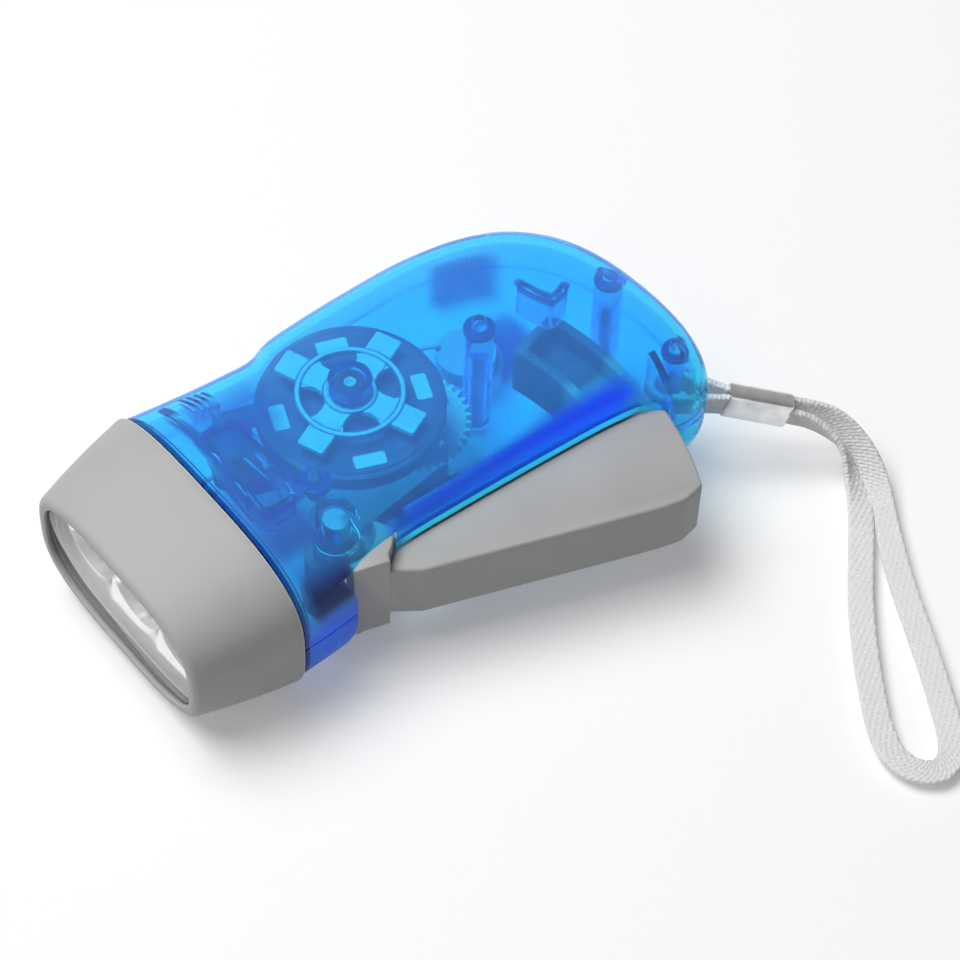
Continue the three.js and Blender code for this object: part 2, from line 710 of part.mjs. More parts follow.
function flywheel() {
  const low = flywheelTop - flywheelThickness;
  const disc = upright(circle(flywheelRadius, 48, rotor), low, flywheelTop, slots);
  return cut(disc, roundUpright(rotor, rotorShaftRadius + fitGap, -20, 20, 16));
}

function spider() {
  const low = spiderTop - spiderThickness;
  const arms = [0, 1].map((i) => {
    const box = new THREE.BoxGeometry(2 * spiderReach, spiderArmWidth, spiderThickness);
    box.rotateZ(deg(spiderAngle + 90 * i)).translate(rotor.x, rotor.y, (low + spiderTop) / 2);
    return solidOf(box);
  });
  const plate = roundUpright(rotor, spiderRingRadius, low, spiderTop, 40);
  const inRing = roundUpright(rotor, spiderRingRadius - spiderRingWidth, low - 1, spiderTop + 1, 40);
  const openings = [0, 1, 2, 3].map((i) => {
    const spot = arc(rotor, spiderOpeningPlace, spiderAngle + 45 + 90 * i, 0, 1)[0];
    return roundUpright(spot, spiderOpeningRadius, low - 1, spiderTop + 1, 20).intersect(inRing);
  });
  return cut(joined(plate, ...arms), ...openings, roundUpright(rotor, rotorShaftRadius + fitGap, -20, 20, 16));
}

function magnet() {
  return ringUpright(rotor, magnetRadius, rotorShaftRadius + fitGap, magnetTop - magnetHeight, magnetTop, 24);
}

// Stator: a horseshoe stack whose poles stand either side of the magnet and whose back passes
// through the coil.
const coilDirection = v2(Math.cos(deg(coilAngle)), Math.sin(deg(coilAngle)));
const coilCentre = rotor.clone().addScaledVector(coilDirection, coilDistance);
const stackMiddle = magnetTop - magnetHeight / 2;
const legWidth = 2.4;

function turnedBox(centre, angle, length, width, low, high) {
  const box = new THREE.BoxGeometry(length, width, high - low);
  box.rotateZ(deg(angle)).translate(centre.x, centre.y, (low + high) / 2);
  return solidOf(box);
}

function statorCore() {
  const low = stackMiddle - stackHalfHeight;
  const high = stackMiddle + stackHalfHeight;
  const poleInner = magnetRadius + poleGap;
  const poleOuter = poleInner + poleThickness;
  const poles = cut(ringUpright(rotor, poleOuter, poleInner, low, high, 40),
    turnedBox(rotor, coilAngle, 60, 5, low - 1, high + 1));
  const side = v2(-coilDirection.y, coilDirection.x);
  const legs = [-1, 1].map((sign) => {
    const middle = rotor.clone().addScaledVector(coilDirection, coilDistance / 2)
      .addScaledVector(side, sign * (poleOuter - legWidth / 2 - 0.1));
    return turnedBox(middle, coilAngle, coilDistance + legWidth, legWidth, low, high);
  });
  const yoke = turnedBox(coilCentre, coilAngle + 90, 2 * (poleOuter - 0.1), legWidth, low, high);
  const bore = roundUpright(rotor, poleInner, low - 1, high + 1, 40);
  return cut(joined(poles, ...legs, yoke), bore);
}

// Coil: a winding on a bobbin that the back of the stack passes through.
function alongCoil(geometry) {
  return geometry.rotateZ(deg(coilAngle)).translate(coilCentre.x, coilCentre.y, stackMiddle);
}

const bobbinCore = Math.hypot(legWidth / 2 + fitGap, stackHalfHeight + fitGap) + bobbinWall;
function bobbin() {
  const half = coilLength / 2;
  const profile = [
    v2(0, -half), v2(bobbinFlangeRadius, -half), v2(bobbinFlangeRadius, -half + bobbinFlangeThickness),
    v2(bobbinCore, -half + bobbinFlangeThickness), v2(bobbinCore, half - bobbinFlangeThickness),
    v2(bobbinFlangeRadius, half - bobbinFlangeThickness), v2(bobbinFlangeRadius, half), v2(0, half),
  ];
  const spool = solidOf(alongCoil(new THREE.LatheGeometry(profile, 20)));
  const hole = new THREE.BoxGeometry(legWidth + 2 * fitGap, coilLength + cutOver, 2 * (stackHalfHeight + fitGap));
  return cut(spool, solidOf(alongCoil(hole)));
}

function winding() {
  const half = coilLength / 2 - bobbinFlangeThickness - fitGap;
  const inner = bobbinCore + fitGap;
  const profile = [
    v2(inner, -half), v2(windingRadius - 0.2, -half), v2(windingRadius, -half + 0.5),
    v2(windingRadius, half - 0.5), v2(windingRadius - 0.2, half), v2(inner, half), v2(inner, -half),
  ];
  return alongCoil(new THREE.LatheGeometry(profile, 20));
}

// Bushes that the rotor shaft turns in.
const upperBush = () => ringUpright(rotor, bushRadius, rotorShaftRadius + fitGap, bushTop - bushLength, bushTop);
const lowerBush = () => ringUpright(rotor, bushRadius, rotorShaftRadius + fitGap, lowBushTop - bushLength, lowBushTop);

// A tube along hand-chosen points.
function tube(points, radius, steps, sides = 8) {
  const path = new THREE.CatmullRomCurve3(points.map(([x, y, z]) => v3(x, y, z)), false, 'centripetal');
  const section = new THREE.Shape(circle(radius, sides));
  return new THREE.ExtrudeGeometry(section, { steps, extrudePath: path, bevelEnabled: false });
}

const wireTop = capacitorBase + capacitorHeight + wireRadius;
const wireStart = boardFront + boardThickness + fitGap + 0.2; // just behind the board
const capacitorWirePoints = [
  [wireStart, 0.563 * farWidth, 0.4 * capacitorBase], [18.5, 0.59 * farWidth, 0.56 * capacitorBase],
  [23, 0.65 * farWidth, 0.785 * capacitorBase], [32, 0.693 * farWidth, 0.84 * capacitorBase],
  [42, 0.684 * farWidth, 0.84 * capacitorBase], [56, 0.719 * farWidth, 0.84 * capacitorBase],
  [capacitorSpot.x - 11.5, capacitorSpot.y + 6.8, 0.75 * capacitorBase],
  [capacitorSpot.x - 6.3, capacitorSpot.y + 5.4, wireTop - 0.5],
  [capacitorSpot.x - 3, capacitorSpot.y + 3.4, wireTop + 0.2],
];
const coilWirePoints = [
  [wireStart, 6.5, stackMiddle], [18.6, 6.8, stackMiddle], [22, 6.6, stackMiddle + 0.3], [24.6, 6.4, stackMiddle],
];

// Return spring: curls round the pivot pin, its top leg held by the front post and its lower leg
// pressing on the lever.
function returnSpring() {
  const stepsPerTurn = 8;
  const count = springTurns * stepsPerTurn;
  const low = springSeat + fitGap + springWire / 2;
  const points = [v3(pivot.x + springRadius + 0.1, pivot.y - springLegReach, low)];
  for (let i = 0; i <= count; i += 1) {
    const angle = (2 * Math.PI * i) / stepsPerTurn;
    points.push(v3(
      pivot.x + springRadius * Math.cos(angle),
      pivot.y + springRadius * Math.sin(angle),
      low + (springPitch * i) / stepsPerTurn,
    ));
  }
  const top = points[points.length - 1];
  points.push(v3(top.x + 0.5, top.y + 2.6, top.z), v3(top.x + 1.1, top.y + 6.5, top.z));
  const path = new THREE.CatmullRomCurve3(points, false, 'centripetal');
  const section = new THREE.Shape(circle(springWire / 2, 5));
  const apart = springPitch - springWire;
  console.log(`return spring: least gap between its turns ${apart.toFixed(2)} mm`);
  return new THREE.ExtrudeGeometry(section, { steps: count + 6, extrudePath: path, bevelEnabled: false });
}

// Wrist strap: a woven band that goes round the post in the tail, out through the shell and a
// crimp, and on as a loop on the surface that the light lies on.
const tailCorner = v2(spineEnd.x + tailReach, -27.4);
const crimpStart = v3(tailCorner.x - 0.3, tailCorner.y, -1.2);
const crimpEnd = v3(tailCorner.x + 7.6, tailCorner.y - 6.8, -3.8);
const crimpAlong = crimpEnd.clone().sub(crimpStart).normalize();
const crimpAcross = v3(-crimpAlong.y, crimpAlong.x, 0).normalize();
const strapPost = posts[0];
const strapHeight = -0.6;

// The loop's route from the end of the crimp, as X and Y from there and the height over the base:
// down its left side, round the far end and back up its right side.
const loopRoute = [
  [2.1, -3.1, 9.7], [4.1, -6.1, 7.6], [5, -8.9, 5.3], [4.4, -12.2, 2.9], [2.7, -15.4, 1.8],
  [-0.7, -19.5, 1.8], [-5.8, -24.9, 1.8], [-11.1, -30.5, 1.8], [-16.4, -37, 1.8], [-21.3, -43.8, 1.8],
  [-24.9, -49.6, 1.8], [-26.5, -54.4, 1.8], [-25.6, -58.3, 1.8], [-23, -60.4, 1.8],
  [-19.9, -59.8, 1.8], [-17.4, -57.3, 1.8], [-14.3, -52.3, 1.8], [-11.1, -46.6, 1.8],
  [-7.8, -40.3, 1.8], [-4.3, -33.4, 1.8], [-0.7, -27.1, 1.8], [3.3, -20.7, 1.8], [6.3, -15.8, 2.5],
  [7.5, -11.6, 4.6], [7.2, -7.7, 7], [5.6, -4.1, 9.1],
];

function bandSection() {
  const half = strapWidth / 2;
  const thin = strapThickness / 2;
  const corner = thin * 0.6;
  return [
    v2(-half + corner, -thin), v2(half - corner, -thin), v2(half, -thin + corner), v2(half, thin - corner),
    v2(half - corner, thin), v2(-half + corner, thin), v2(-half, thin - corner), v2(-half, -thin + corner),
  ];
}

// A flat band along points: tiltAt gives, for a share of its length, how far it leans from upright.
function band(points, steps, tiltAt) {
  const path = new THREE.CatmullRomCurve3(points, false, 'centripetal');
  const rings = Array.from({ length: steps + 1 }, (_, i) => {
    const middle = path.getPointAt(i / steps);
    const heading = path.getTangentAt(i / steps);
    const across = heading.clone().cross(v3(0, 0, 1)).normalize();
    const rise = across.clone().cross(heading);
    const tilt = deg(tiltAt(i / steps));
    const wide = rise.multiplyScalar(Math.cos(tilt)).addScaledVector(across, Math.sin(tilt));
    const thick = heading.clone().cross(wide);
    return bandSection().map((p) => middle.clone().addScaledVector(wide, p.x).addScaledVector(thick, p.y));
  });
  const solid = loft(rings);
  return solid.volume() < 0 ? loft(rings.map((ring) => ring.reverse())) : solid;
}

function loopTilt(share) {
  const fromEnd = Math.min(share, 1 - share);
  return lerp(strapTiltStart, strapTiltLying, smoothstep(fromEnd, 0, strapTiltTurn));
}

function strapLoop() {
  const leave = (side) => crimpEnd.clone().addScaledVector(crimpAlong, fitGap + 0.2)
    .addScaledVector(crimpAcross, (side * strandApart) / 2);
  const route = loopRoute.map(([x, y, height]) => v3(crimpEnd.x + x, crimpEnd.y + y, height - floorDepth));
  return band([leave(-1), ...route, leave(1)], 72, loopTilt);
}

function strapTail() {
  const round = strapPost.radius + fitGap + strapThickness / 2;
  const centre = v3(strapPost.x, strapPost.y, strapHeight);
  const away = crimpStart.clone().sub(centre).setZ(0).normalize();
  const heading = THREE.MathUtils.radToDeg(Math.atan2(away.y, away.x));
  const turn = arc(centre, round, heading - 105, heading - 255, 8).map((p) => v3(p.x, p.y, strapHeight));
  const enter = (side) => crimpStart.clone().addScaledVector(crimpAlong, -3 * fitGap)
    .addScaledVector(crimpAcross, (side * strandApart) / 2);
  return band([enter(-1), ...turn, enter(1)], 26, () => 0);
}

function strapWay() {
  const centre = v3(strapPost.x, strapPost.y, strapHeight);
  const away = crimpStart.clone().sub(centre).setZ(0).normalize();
  const near = strapPost.radius + fitGap;
  const length = 12;
  const width = 2 * (near + strapThickness);
  const box = new THREE.BoxGeometry(length, width, strapWidth + 2 * swingGap);
  box.rotateZ(Math.atan2(away.y, away.x));
  const middle = centre.clone().addScaledVector(away, near + length / 2);
  return solidOf(box.translate(middle.x, middle.y, middle.z));
}

function strapCrimp() {
  const half = crimpWidth / 2;
  const thin = crimpThickness / 2;
  const shape = new THREE.Shape([
    v2(-half + crimpEdge, -thin), v2(half - crimpEdge, -thin), v2(half, -thin + crimpEdge),
    v2(half, thin - crimpEdge), v2(half - crimpEdge, thin), v2(-half + crimpEdge, thin),
    v2(-half, thin - crimpEdge), v2(-half, -thin + crimpEdge),
  ]);
  const path = new THREE.LineCurve3(crimpStart, crimpEnd);
  return new THREE.ExtrudeGeometry(shape, { steps: 1, extrudePath: path, bevelEnabled: false });
}

// Screws
function screw(post) {
  const top = screwSeat(post) - fitGap;
  const face = top - screwHeadHeight;
  const head = roundUpright(post, screwHeadRadius, face, top, 16);
  const shank = roundUpright(post, screwRadius, top - 0.2, screwTop - fitGap, 12);
  const drives = [0, 90].map((angle) => turnedBox(post, angle, 2.2, 0.5, 2 * face, face + 0.5));
  return cut(joined(head, shank), ...drives);
}

// Lever
// Places on the arm, as shares of its reach from the pivot.
const onArm = (x, y) => v2(pivot.x + x * armReach, pivot.y + y * armReach);
const armOutline = [
  onArm(0.053, -0.152), onArm(0.088, -0.178), onArm(0.131, -0.21), onArm(0.353, -0.295), onArm(0.578, -0.381),
  onArm(0.757, -0.448), onArm(0.809, -0.464), onArm(0.852, -0.469),
];
const armInner = [onArm(0.905, -0.133), onArm(0.491, -0.098), onArm(0.147, -0.064), onArm(0.069, -0.034)];
const armPocket = [onArm(0.172, -0.193), onArm(0.716, -0.4), onArm(0.716, 0.081), onArm(0.172, 0.081)];

function squeezeLever() {
  const end = arc(pivot, armReach, -27.2, -12, 8);
  const arm = upright([...armOutline, ...end, ...armInner], -armHalfHeight, armHalfHeight);
  const stubCorners = [
    v2(stubEdge, pivot.y - 0.831 * stubRadius), v2(pivot.x + 0.382 * stubRadius, pivot.y - 1.034 * stubRadius),
  ];
  const stubOutline = [
    ...stubCorners,
    ...arc(pivot, stubRadius, -62, -30, 6),
    ...arc(pivot, barrelRadius, 0, 180, 10),
    v2(stubEdge, pivot.y - 0.26 * stubRadius),
  ];
  const stub = upright(stubOutline, sectorLow + sectorThickness + fitGap, stubHalfHeight);
  const stubFoot = upright([
    ...stubCorners, ...arc(pivot, stubRadius, -62, -46, 3),
    ...arc(pivot, barrelRadius + 2.4, -46, -106, 4),
  ], -stubHalfHeight, 0);
  const peg = roundUpright(pegPlace, pegRadius, -stubHalfHeight + 0.3, 0, 12);
  const pegArm = roundUpright(pegPlace, pegRadius + 0.8, sectorLow + sectorThickness + fitGap, 0, 16);
  const guide = guideFin();
  const solid = joined(arm, stub, stubFoot, peg, pegArm, guide);
  const springPocket = roundUpright(pivot, springPocketRadius, springSeat, 20, 24);
  const armHollow = upright(armPocket, armWall - armHalfHeight, armHalfHeight - armWall);
  return cut(solid, roundUpright(pivot, pinRadius + fitGap, -20, 20, 20), springPocket, armHollow);
}

function guideFin() {
  const outer = arc(pivot, armReach - 0.8, guideStart, guideEnd, 14);
  const innerArc = arc(pivot, guideInner, guideEnd, guideStart, 12);
  const fin = upright([...outer, ...innerArc], -guideHalfHeight, guideHalfHeight);
  const pocketOuter = arc(pivot, armReach - 0.8 - guideWall, guideStart + 5, guideEnd - 1.8, 12);
  const pocketInner = arc(pivot, guideInner + guideWall, guideEnd - 1.8, guideStart + 5, 12);
  const pocket = [...pocketOuter, ...pocketInner];
  return cut(fin, upright(pocket, 1, 20), upright(pocket, -20, -1));
}

// Meshes
const flashlight = new THREE.Group();
const finishes = {
  clearBlue: { color: 0x1e8dff, roughness: 0.12, metalness: 0 },
  grey: { color: 0xa9abab, roughness: 0.55, metalness: 0 },
  clear: { color: 0xeef4f8, roughness: 0.05, metalness: 0 },
  chrome: { color: 0xd9dcdf, roughness: 0.08, metalness: 1 },
  steel: { color: 0x8f9296, roughness: 0.3, metalness: 1 },
  darkSteel: { color: 0x34363c, roughness: 0.4, metalness: 1 },
  nylon: { color: 0xe9e7df, roughness: 0.5, metalness: 0 },
  brass: { color: 0xb08b45, roughness: 0.35, metalness: 1 },
  copper: { color: 0xb5652c, roughness: 0.4, metalness: 1 },
  board: { color: 0x2f6b3c, roughness: 0.6, metalness: 0 },
  black: { color: 0x1b1b1d, roughness: 0.5, metalness: 0 },
  magnet: { color: 0x4a4a4f, roughness: 0.45, metalness: 0.6 },
  webbing: { color: 0xe6e4df, roughness: 0.85, metalness: 0 },
};

function add(name, shape, finish) {
  const geometry = shape.isBufferGeometry ? shape : geometryOf(shape);
  const mesh = new THREE.Mesh(geometry, new THREE.MeshStandardMaterial(finishes[finish]));
  mesh.name = name;
  flashlight.add(mesh);
  return mesh;
}

add('upper_shell', upperShell(), 'clearBlue');
add('lower_shell', lowerShell(), 'clearBlue');
add('head_bezel', headBezel(), 'grey');
add('front_lens', frontLens(), 'clear');
add('reflector', reflector(), 'chrome');
cupPlaces.forEach((y, i) => {
  add(`led_${i + 1}`, led(), 'clear').position.y = y;
});
add('led_board', ledBoard(), 'board');
add('squeeze_lever', squeezeLever(), 'grey');
add('sector_gear', sectorGear(), 'nylon');
add('drive_pinion', drivePinion(), 'nylon');
add('speed_wheel', speedWheel(), 'nylon');
add('gear_axle', gearAxle(), 'steel');
add('rotor_pinion', rotorPinion(), 'brass');
add('rotor_shaft', rotorShaft(), 'steel');
add('flywheel', flywheel(), 'darkSteel');
add('rotor_spider', spider(), 'nylon');
add('ring_magnet', magnet(), 'magnet');
add('stator_core', statorCore(), 'darkSteel');
add('coil_bobbin', bobbin(), 'black');
add('coil_winding', winding(), 'copper');
add('upper_bush', upperBush(), 'brass');
add('lower_bush', lowerBush(), 'brass');
add('storage_capacitor', roundUpright(capacitorSpot, capacitorRadius, capacitorBase, capacitorBase + capacitorHeight, 24),
  'black');
add('capacitor_wires', tube(capacitorWirePoints, wireRadius, 26), 'black');
add('coil_wires', tube(coilWirePoints, wireRadius, 5), 'black');
add('return_spring', returnSpring(), 'steel');
add('lever_pin', roundUpright(pivot, pinRadius, -pinHalfLength, pinHalfLength, 20), 'steel');
posts.forEach((post) => add(`screw_${post.name}`, screw(post), 'steel'));
add('strap_tail', strapTail(), 'webbing');
add('strap_crimp', strapCrimp(), 'steel');
add('strap_loop', strapLoop(), 'webbing');

// The base of the light without its strap stands on z = 0, its middle over the origin.
const strapNodes = ['strap_tail', 'strap_crimp', 'strap_loop'];
const extent = new THREE.Box3();
flashlight.children.filter((mesh) => !strapNodes.includes(mesh.name))
  .forEach((mesh) => extent.expandByObject(mesh));
const middle = extent.getCenter(v3(0, 0, 0));
flashlight.position.set(-middle.x, -middle.y, -extent.min.z);

export default flashlight;
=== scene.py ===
"""Squeeze dynamo flashlight on a pale table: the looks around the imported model.

Lengths in the tables are millimetres in the part's own layout: X from the lens rim to the tail, Y across
with the lever on the -Y side, Z up from the seam between the two shells. at() turns them into metres in
the model's frame.
"""
import math
from functools import partial

import bmesh
import bpy
import numpy as np
from mathutils import Matrix, Vector


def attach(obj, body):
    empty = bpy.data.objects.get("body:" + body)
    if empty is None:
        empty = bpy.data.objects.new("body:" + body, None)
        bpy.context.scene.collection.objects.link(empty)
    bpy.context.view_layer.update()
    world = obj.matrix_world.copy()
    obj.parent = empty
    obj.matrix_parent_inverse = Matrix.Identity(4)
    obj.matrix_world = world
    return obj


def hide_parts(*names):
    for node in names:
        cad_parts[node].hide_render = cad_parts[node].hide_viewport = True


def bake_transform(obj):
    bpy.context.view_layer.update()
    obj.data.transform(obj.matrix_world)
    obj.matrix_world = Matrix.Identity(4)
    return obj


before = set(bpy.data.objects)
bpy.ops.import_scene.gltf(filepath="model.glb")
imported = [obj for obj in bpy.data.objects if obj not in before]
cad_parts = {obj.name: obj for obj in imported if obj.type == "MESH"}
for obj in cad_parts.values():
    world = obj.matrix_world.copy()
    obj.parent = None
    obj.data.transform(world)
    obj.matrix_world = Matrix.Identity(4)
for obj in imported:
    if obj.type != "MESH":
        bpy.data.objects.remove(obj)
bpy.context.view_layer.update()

MM = 0.001
ORIGIN = np.array((-50.6, 8.6394, 15.0))  # the layout's zero point in the model's frame


def at(points):
    return (np.asarray(points, float) + ORIGIN) * MM


# Sizes, as in the part's source
GAP = 0.3
SWING_GAP = 0.5
FLOOR = -15.0
HEAD_LENGTH = 18.0
HEAD_FRONT = (20.6, 12.4)
HEAD_REAR = (24.7, 16.0)
HEAD_BULGE = 0.3
HEAD_POWER = 3.1
HEAD_WALL = 1.3
LIP_WALL = 1.8
LIP_DEPTH = 1.0
LIP_ROUND = 0.9
BODY_START = 18.3
SHELL_TOP = 15.6
TAIL_TOP = 15.3
SHELL_WALL = 1.8
SHELL_POWER = 3.0
NECK_LENGTH = 5.0
NECK_WALL = 1.5
SPINE_END = (84.0, -4.0)
SPINE_BEND = 40.0
TAIL_REACH = 17.2
FAR_WIDTH = 23.1
TAIL_WIDTH = 0.861 * FAR_WIDTH
PIVOT = (31.5, -14.7)
PIVOT_BORE = 2.3
PIVOT_BOSS = 3.9
ARM_HALF = 5.85
ARM_REACH = 58.0
STUB_HALF = 8.752
STUB_RADIUS = 8.9
STUB_FOOT = 29.3
BARREL_RADIUS = 5.0
PIN_END = STUB_HALF + 3.996
ROTOR = (49.1, 4.2)
SHAFT_HOLE = 1.3
FRAME_RINGS = (8.82, 7.92, 4.3)  # radii of the edges of the rotor frame's raised rings, where rings of painted shade are drawn
POSTS = (  # name, X, Y, radius, and how far the seat of its screw is raised
    ("tail_near", 95.0, -20.8, 1.8, 2.9),
    ("tail_far", 95.2, -4.4, 2.4, 1.7),
    ("middle", 72.3, 0.6, 2.4, 0.0),
    ("front", 33.5, -7.2, 1.6, 0.0),
)
SCREW_HOLE = 1.2
BUSH_RADIUS = 2.2
COLLARS = (  # radius and height of the collars at the tops of the posts, round which dark rings of shade are painted
    (2.3, 9.6), (2.45, 11.4), (2.6, 11.7), (2.6, 12.3),
)
COLLAR_HEIGHT = 0.9
COLLAR_NECK = 1.2
COMB = [((26.4 + 1.1 * k, 18.2 - 0.5 * k), (26.9 + 1.1 * k, 14.6 - 0.5 * k)) for k in range(4)]
Y_RIB = (((82.1, 2.6), (83.0, -0.6), (84.2, -3.2)), ((84.0, -3.1), (85.8, -2.9), (87.5, -2.3)))
POCKET = ((24.4, 9.6), (29.9, 8.2), (30.6, 0), (29.4, -8.6), (22.9, -8.4))
CRESCENT = ((23.0, 17.9), (23.7, 12), (24.0, 3.0), (22.6, -4.5))
STROKES = (  # half width and line of the ribs and pocket walls, painted under the top wall as dark strokes of shade
    *((0.85, line) for line in (*Y_RIB, POCKET, CRESCENT)), *((0.35, line) for line in COMB),
)
CAPACITOR = (76.5, 8.6)
CAPACITOR_RADIUS = 5
CAPACITOR_BASE = -10.704
COIL_ANGLE = 160
COIL_OUT = 19.6


# Shapes: (points, faces) in millimetres
def lerp(a, b, t):
    return a + (b - a) * t


def smoothstep(x, low, high):
    t = min(max((x - low) / (high - low), 0), 1)
    return t * t * (3 - 2 * t)


def unit(vectors):
    return vectors / np.linalg.norm(vectors, axis=-1, keepdims=True)


def facing(degrees):
    return math.cos(math.radians(degrees)), math.sin(math.radians(degrees))


def turn_by(points, degrees, centre=(0, 0)):
    """Plan points turned about the zero point, then moved by centre."""
    c, s = facing(degrees)
    return [(centre[0] + x * c - y * s, centre[1] + x * s + y * c) for x, y in points]


def power_point(angle, power):
    c, s = np.cos(angle), np.sin(angle)
    return np.sign(c) * np.abs(c) ** (2 / power), np.sign(s) * np.abs(s) ** (2 / power)


def distances(points):
    """The run along a polyline at each of its points."""
    return np.concatenate(((0,), np.cumsum(np.linalg.norm(np.diff(points, axis=0), axis=1))))


def catmull(points, count):
    """Points along a centripetal curve through the given ones, evenly spaced along its length."""
    p = np.asarray(points, float)
    ends = np.vstack((2 * p[0] - p[1], p, 2 * p[-1] - p[-2]))
    fine = []
    for t in np.linspace(0, len(p) - 1, 40 * len(p)):
        i = min(int(t), len(p) - 2)
        w = t - i
        p0, p1, p2, p3 = ends[i:i + 4]
        d0, d1, d2 = (max(np.linalg.norm(b - a), 1e-9) ** 0.5 for a, b in ((p0, p1), (p1, p2), (p2, p3)))
        t1 = ((p1 - p0) / d0 - (p2 - p0) / (d0 + d1) + (p2 - p1) / d1) * d1
        t2 = ((p2 - p1) / d1 - (p3 - p1) / (d1 + d2) + (p3 - p2) / d2) * d1
        fine.append(p1 + t1 * w + (3 * (p2 - p1) - 2 * t1 - t2) * w ** 2
                    + (2 * (p1 - p2) + t1 + t2) * w ** 3)
    run = distances(fine)
    places = np.linspace(0, run[-1], count)
    return np.stack([np.interp(places, run, values) for values in np.transpose(fine)], axis=1)


def loft(rings, closed=False):
    """A solid through closed rings of points; its ends are closed, or joined where closed is set."""
    n, count = len(rings[0]), len(rings)
    faces = []
    for i in range(count if closed else count - 1):
        a, b = i * n, (i + 1) % count * n
        faces += [(a + k, a + (k + 1) % n, b + (k + 1) % n, b + k) for k in range(n)]
    if not closed:
        faces += [tuple(range(n))[::-1], tuple(range((count - 1) * n, count * n))]
    return np.vstack(rings), faces


def joined_shapes(*shapes):
    """Several separate shapes as one set of points and faces."""
    points, faces, base = [], [], 0
    for shape_points, shape_faces in shapes:
        points.append(shape_points)
        faces += [tuple(i + base for i in face) for face in shape_faces]
        base += len(shape_points)
    return np.vstack(points), faces


def arc(centre, radius, start, end, steps):
    angles = np.radians(np.linspace(start, end, steps + 1))
    return [(centre[0] + radius * math.cos(a), centre[1] + radius * math.sin(a)) for a in angles]


def circle(centre, radius, sides):
    return arc(centre, radius, 0, 360 * (1 - 1 / sides), sides - 1)


def filleted(corners, steps=5):
    """An outline whose corners, each (x, y, radius), are rounded."""
    out = []
    for i, (x, y, radius) in enumerate(corners):
        here = np.array((x, y))
        if radius <= 0:
            out.append(tuple(here))
            continue
        back = np.array(corners[i - 1][:2]) - here
        ahead = np.array(corners[(i + 1) % len(corners)][:2]) - here
        u, v = unit(back), unit(ahead)
        half = math.acos(np.clip(u @ v, -1, 1)) / 2
        reach = min(radius / math.tan(half), *(0.45 * np.linalg.norm(side) for side in (back, ahead)))
        start, end = here + u * reach, here + v * reach
        for t in np.arange(steps + 1) / steps:
            out.append(tuple((1 - t) ** 2 * start + 2 * t * (1 - t) * here + t ** 2 * end))
    return out


def rounded_bar(low, high, width, steps=4):
    """A bar's outline about the X axis, with rounded corners."""
    corners = ((low, -width), (high, -width), (high, width), (low, width))
    return filleted([(x, y, 0.5) for x, y in corners], steps)


def inset_outline(outline, amount):
    """An outline moved inwards; it has to run anticlockwise."""
    p = np.asarray(outline, float)
    edge = np.roll(p, -1, axis=0) - p
    normal = unit(np.stack((-edge[:, 1], edge[:, 0]), axis=1))
    middle = normal + np.roll(normal, 1, axis=0)
    middle /= np.maximum((middle * normal).sum(axis=1), 0.3)[:, None]
    return p + middle * amount


def anticlockwise(outline):
    p = np.asarray(outline, float)
    area = (p[:, 0] * np.roll(p[:, 1], -1) - np.roll(p[:, 0], -1) * p[:, 1]).sum()
    return p if area > 0 else p[::-1]


def upright(outline, low, high, soft=0.0, steps=3):
    """An upright solid on a plan outline, its top and bottom edges rounded by soft."""
    outline = anticlockwise(outline)
    levels = [(0.0, low), (0.0, high)]
    if soft:
        turns = [math.pi / 2 * k / steps for k in range(steps + 1)]
        levels = [(soft * (1 - math.sin(a)), low + soft * (1 - math.cos(a))) for a in turns]
        levels += [(inset, low + high - z) for inset, z in reversed(levels)]
    return loft([np.column_stack((inset_outline(outline, inset), np.full(len(outline), z)))
                 for inset, z in levels])


def round_upright(centre, radius, low, high, sides=40, soft=0.0):
    return upright(circle(centre[:2], radius, sides), low, high, soft)


def ring_upright(centre, outer, inner, low, high, sides=64, soft=0.12):
    """A flat ring with soft edges."""
    s = soft * 0.3
    profile = [(inner, low + soft), (inner + s, low + s), (inner + soft, low), (outer - soft, low),
               (outer - s, low + s), (outer, low + soft), (outer, high - soft), (outer - s, high - s),
               (outer - soft, high), (inner + soft, high), (inner + s, high - s), (inner, high - soft)]
    return turned(profile, sides, (*centre, 0), closed=True)


def turned(profile, sides, centre=(0, 0, 0), angle=None, closed=False):
    """A turned solid from (radius, height) pairs, upright or lying with its axis at an angle in the plan."""
    angles = [2 * math.pi * k / sides for k in range(sides)]
    rings = [[(r * math.cos(a), r * math.sin(a), h) for a in angles] for r, h in profile]
    points, faces = loft(rings, closed)
    if angle is not None:
        x, y = np.transpose(turn_by(points[:, (2, 0)], angle))
        points = np.stack((x, y, points[:, 1]), axis=1)
    return points + np.asarray(centre, float), faces


def frames(path):
    """Directions along, across and up at each point of a path."""
    along = unit(np.gradient(path, axis=0))
    across = unit(np.cross(along, (0, 0, 1)))
    return along, across, np.cross(across, along)


def swept(path, sections):
    """Sections of (across, up) pairs, one for each point, carried along a path."""
    _, across, rise = frames(path)
    return loft([p + np.outer(np.array(s)[:, 0], a) + np.outer(np.array(s)[:, 1], r)
                 for p, a, r, s in zip(path, across, rise, sections)])


def box_shape(centre, size, angle=0.0):
    x, y, z = (length / 2 for length in size)
    corners = turn_by(((-x, -y), (x, -y), (x, y), (-x, y)), angle, centre)
    return upright(corners, centre[2] - z, centre[2] + z)


# Meshes and solids
def linked(name, data):
    obj = bpy.data.objects.new(name, data)
    bpy.context.scene.collection.objects.link(obj)
    return obj


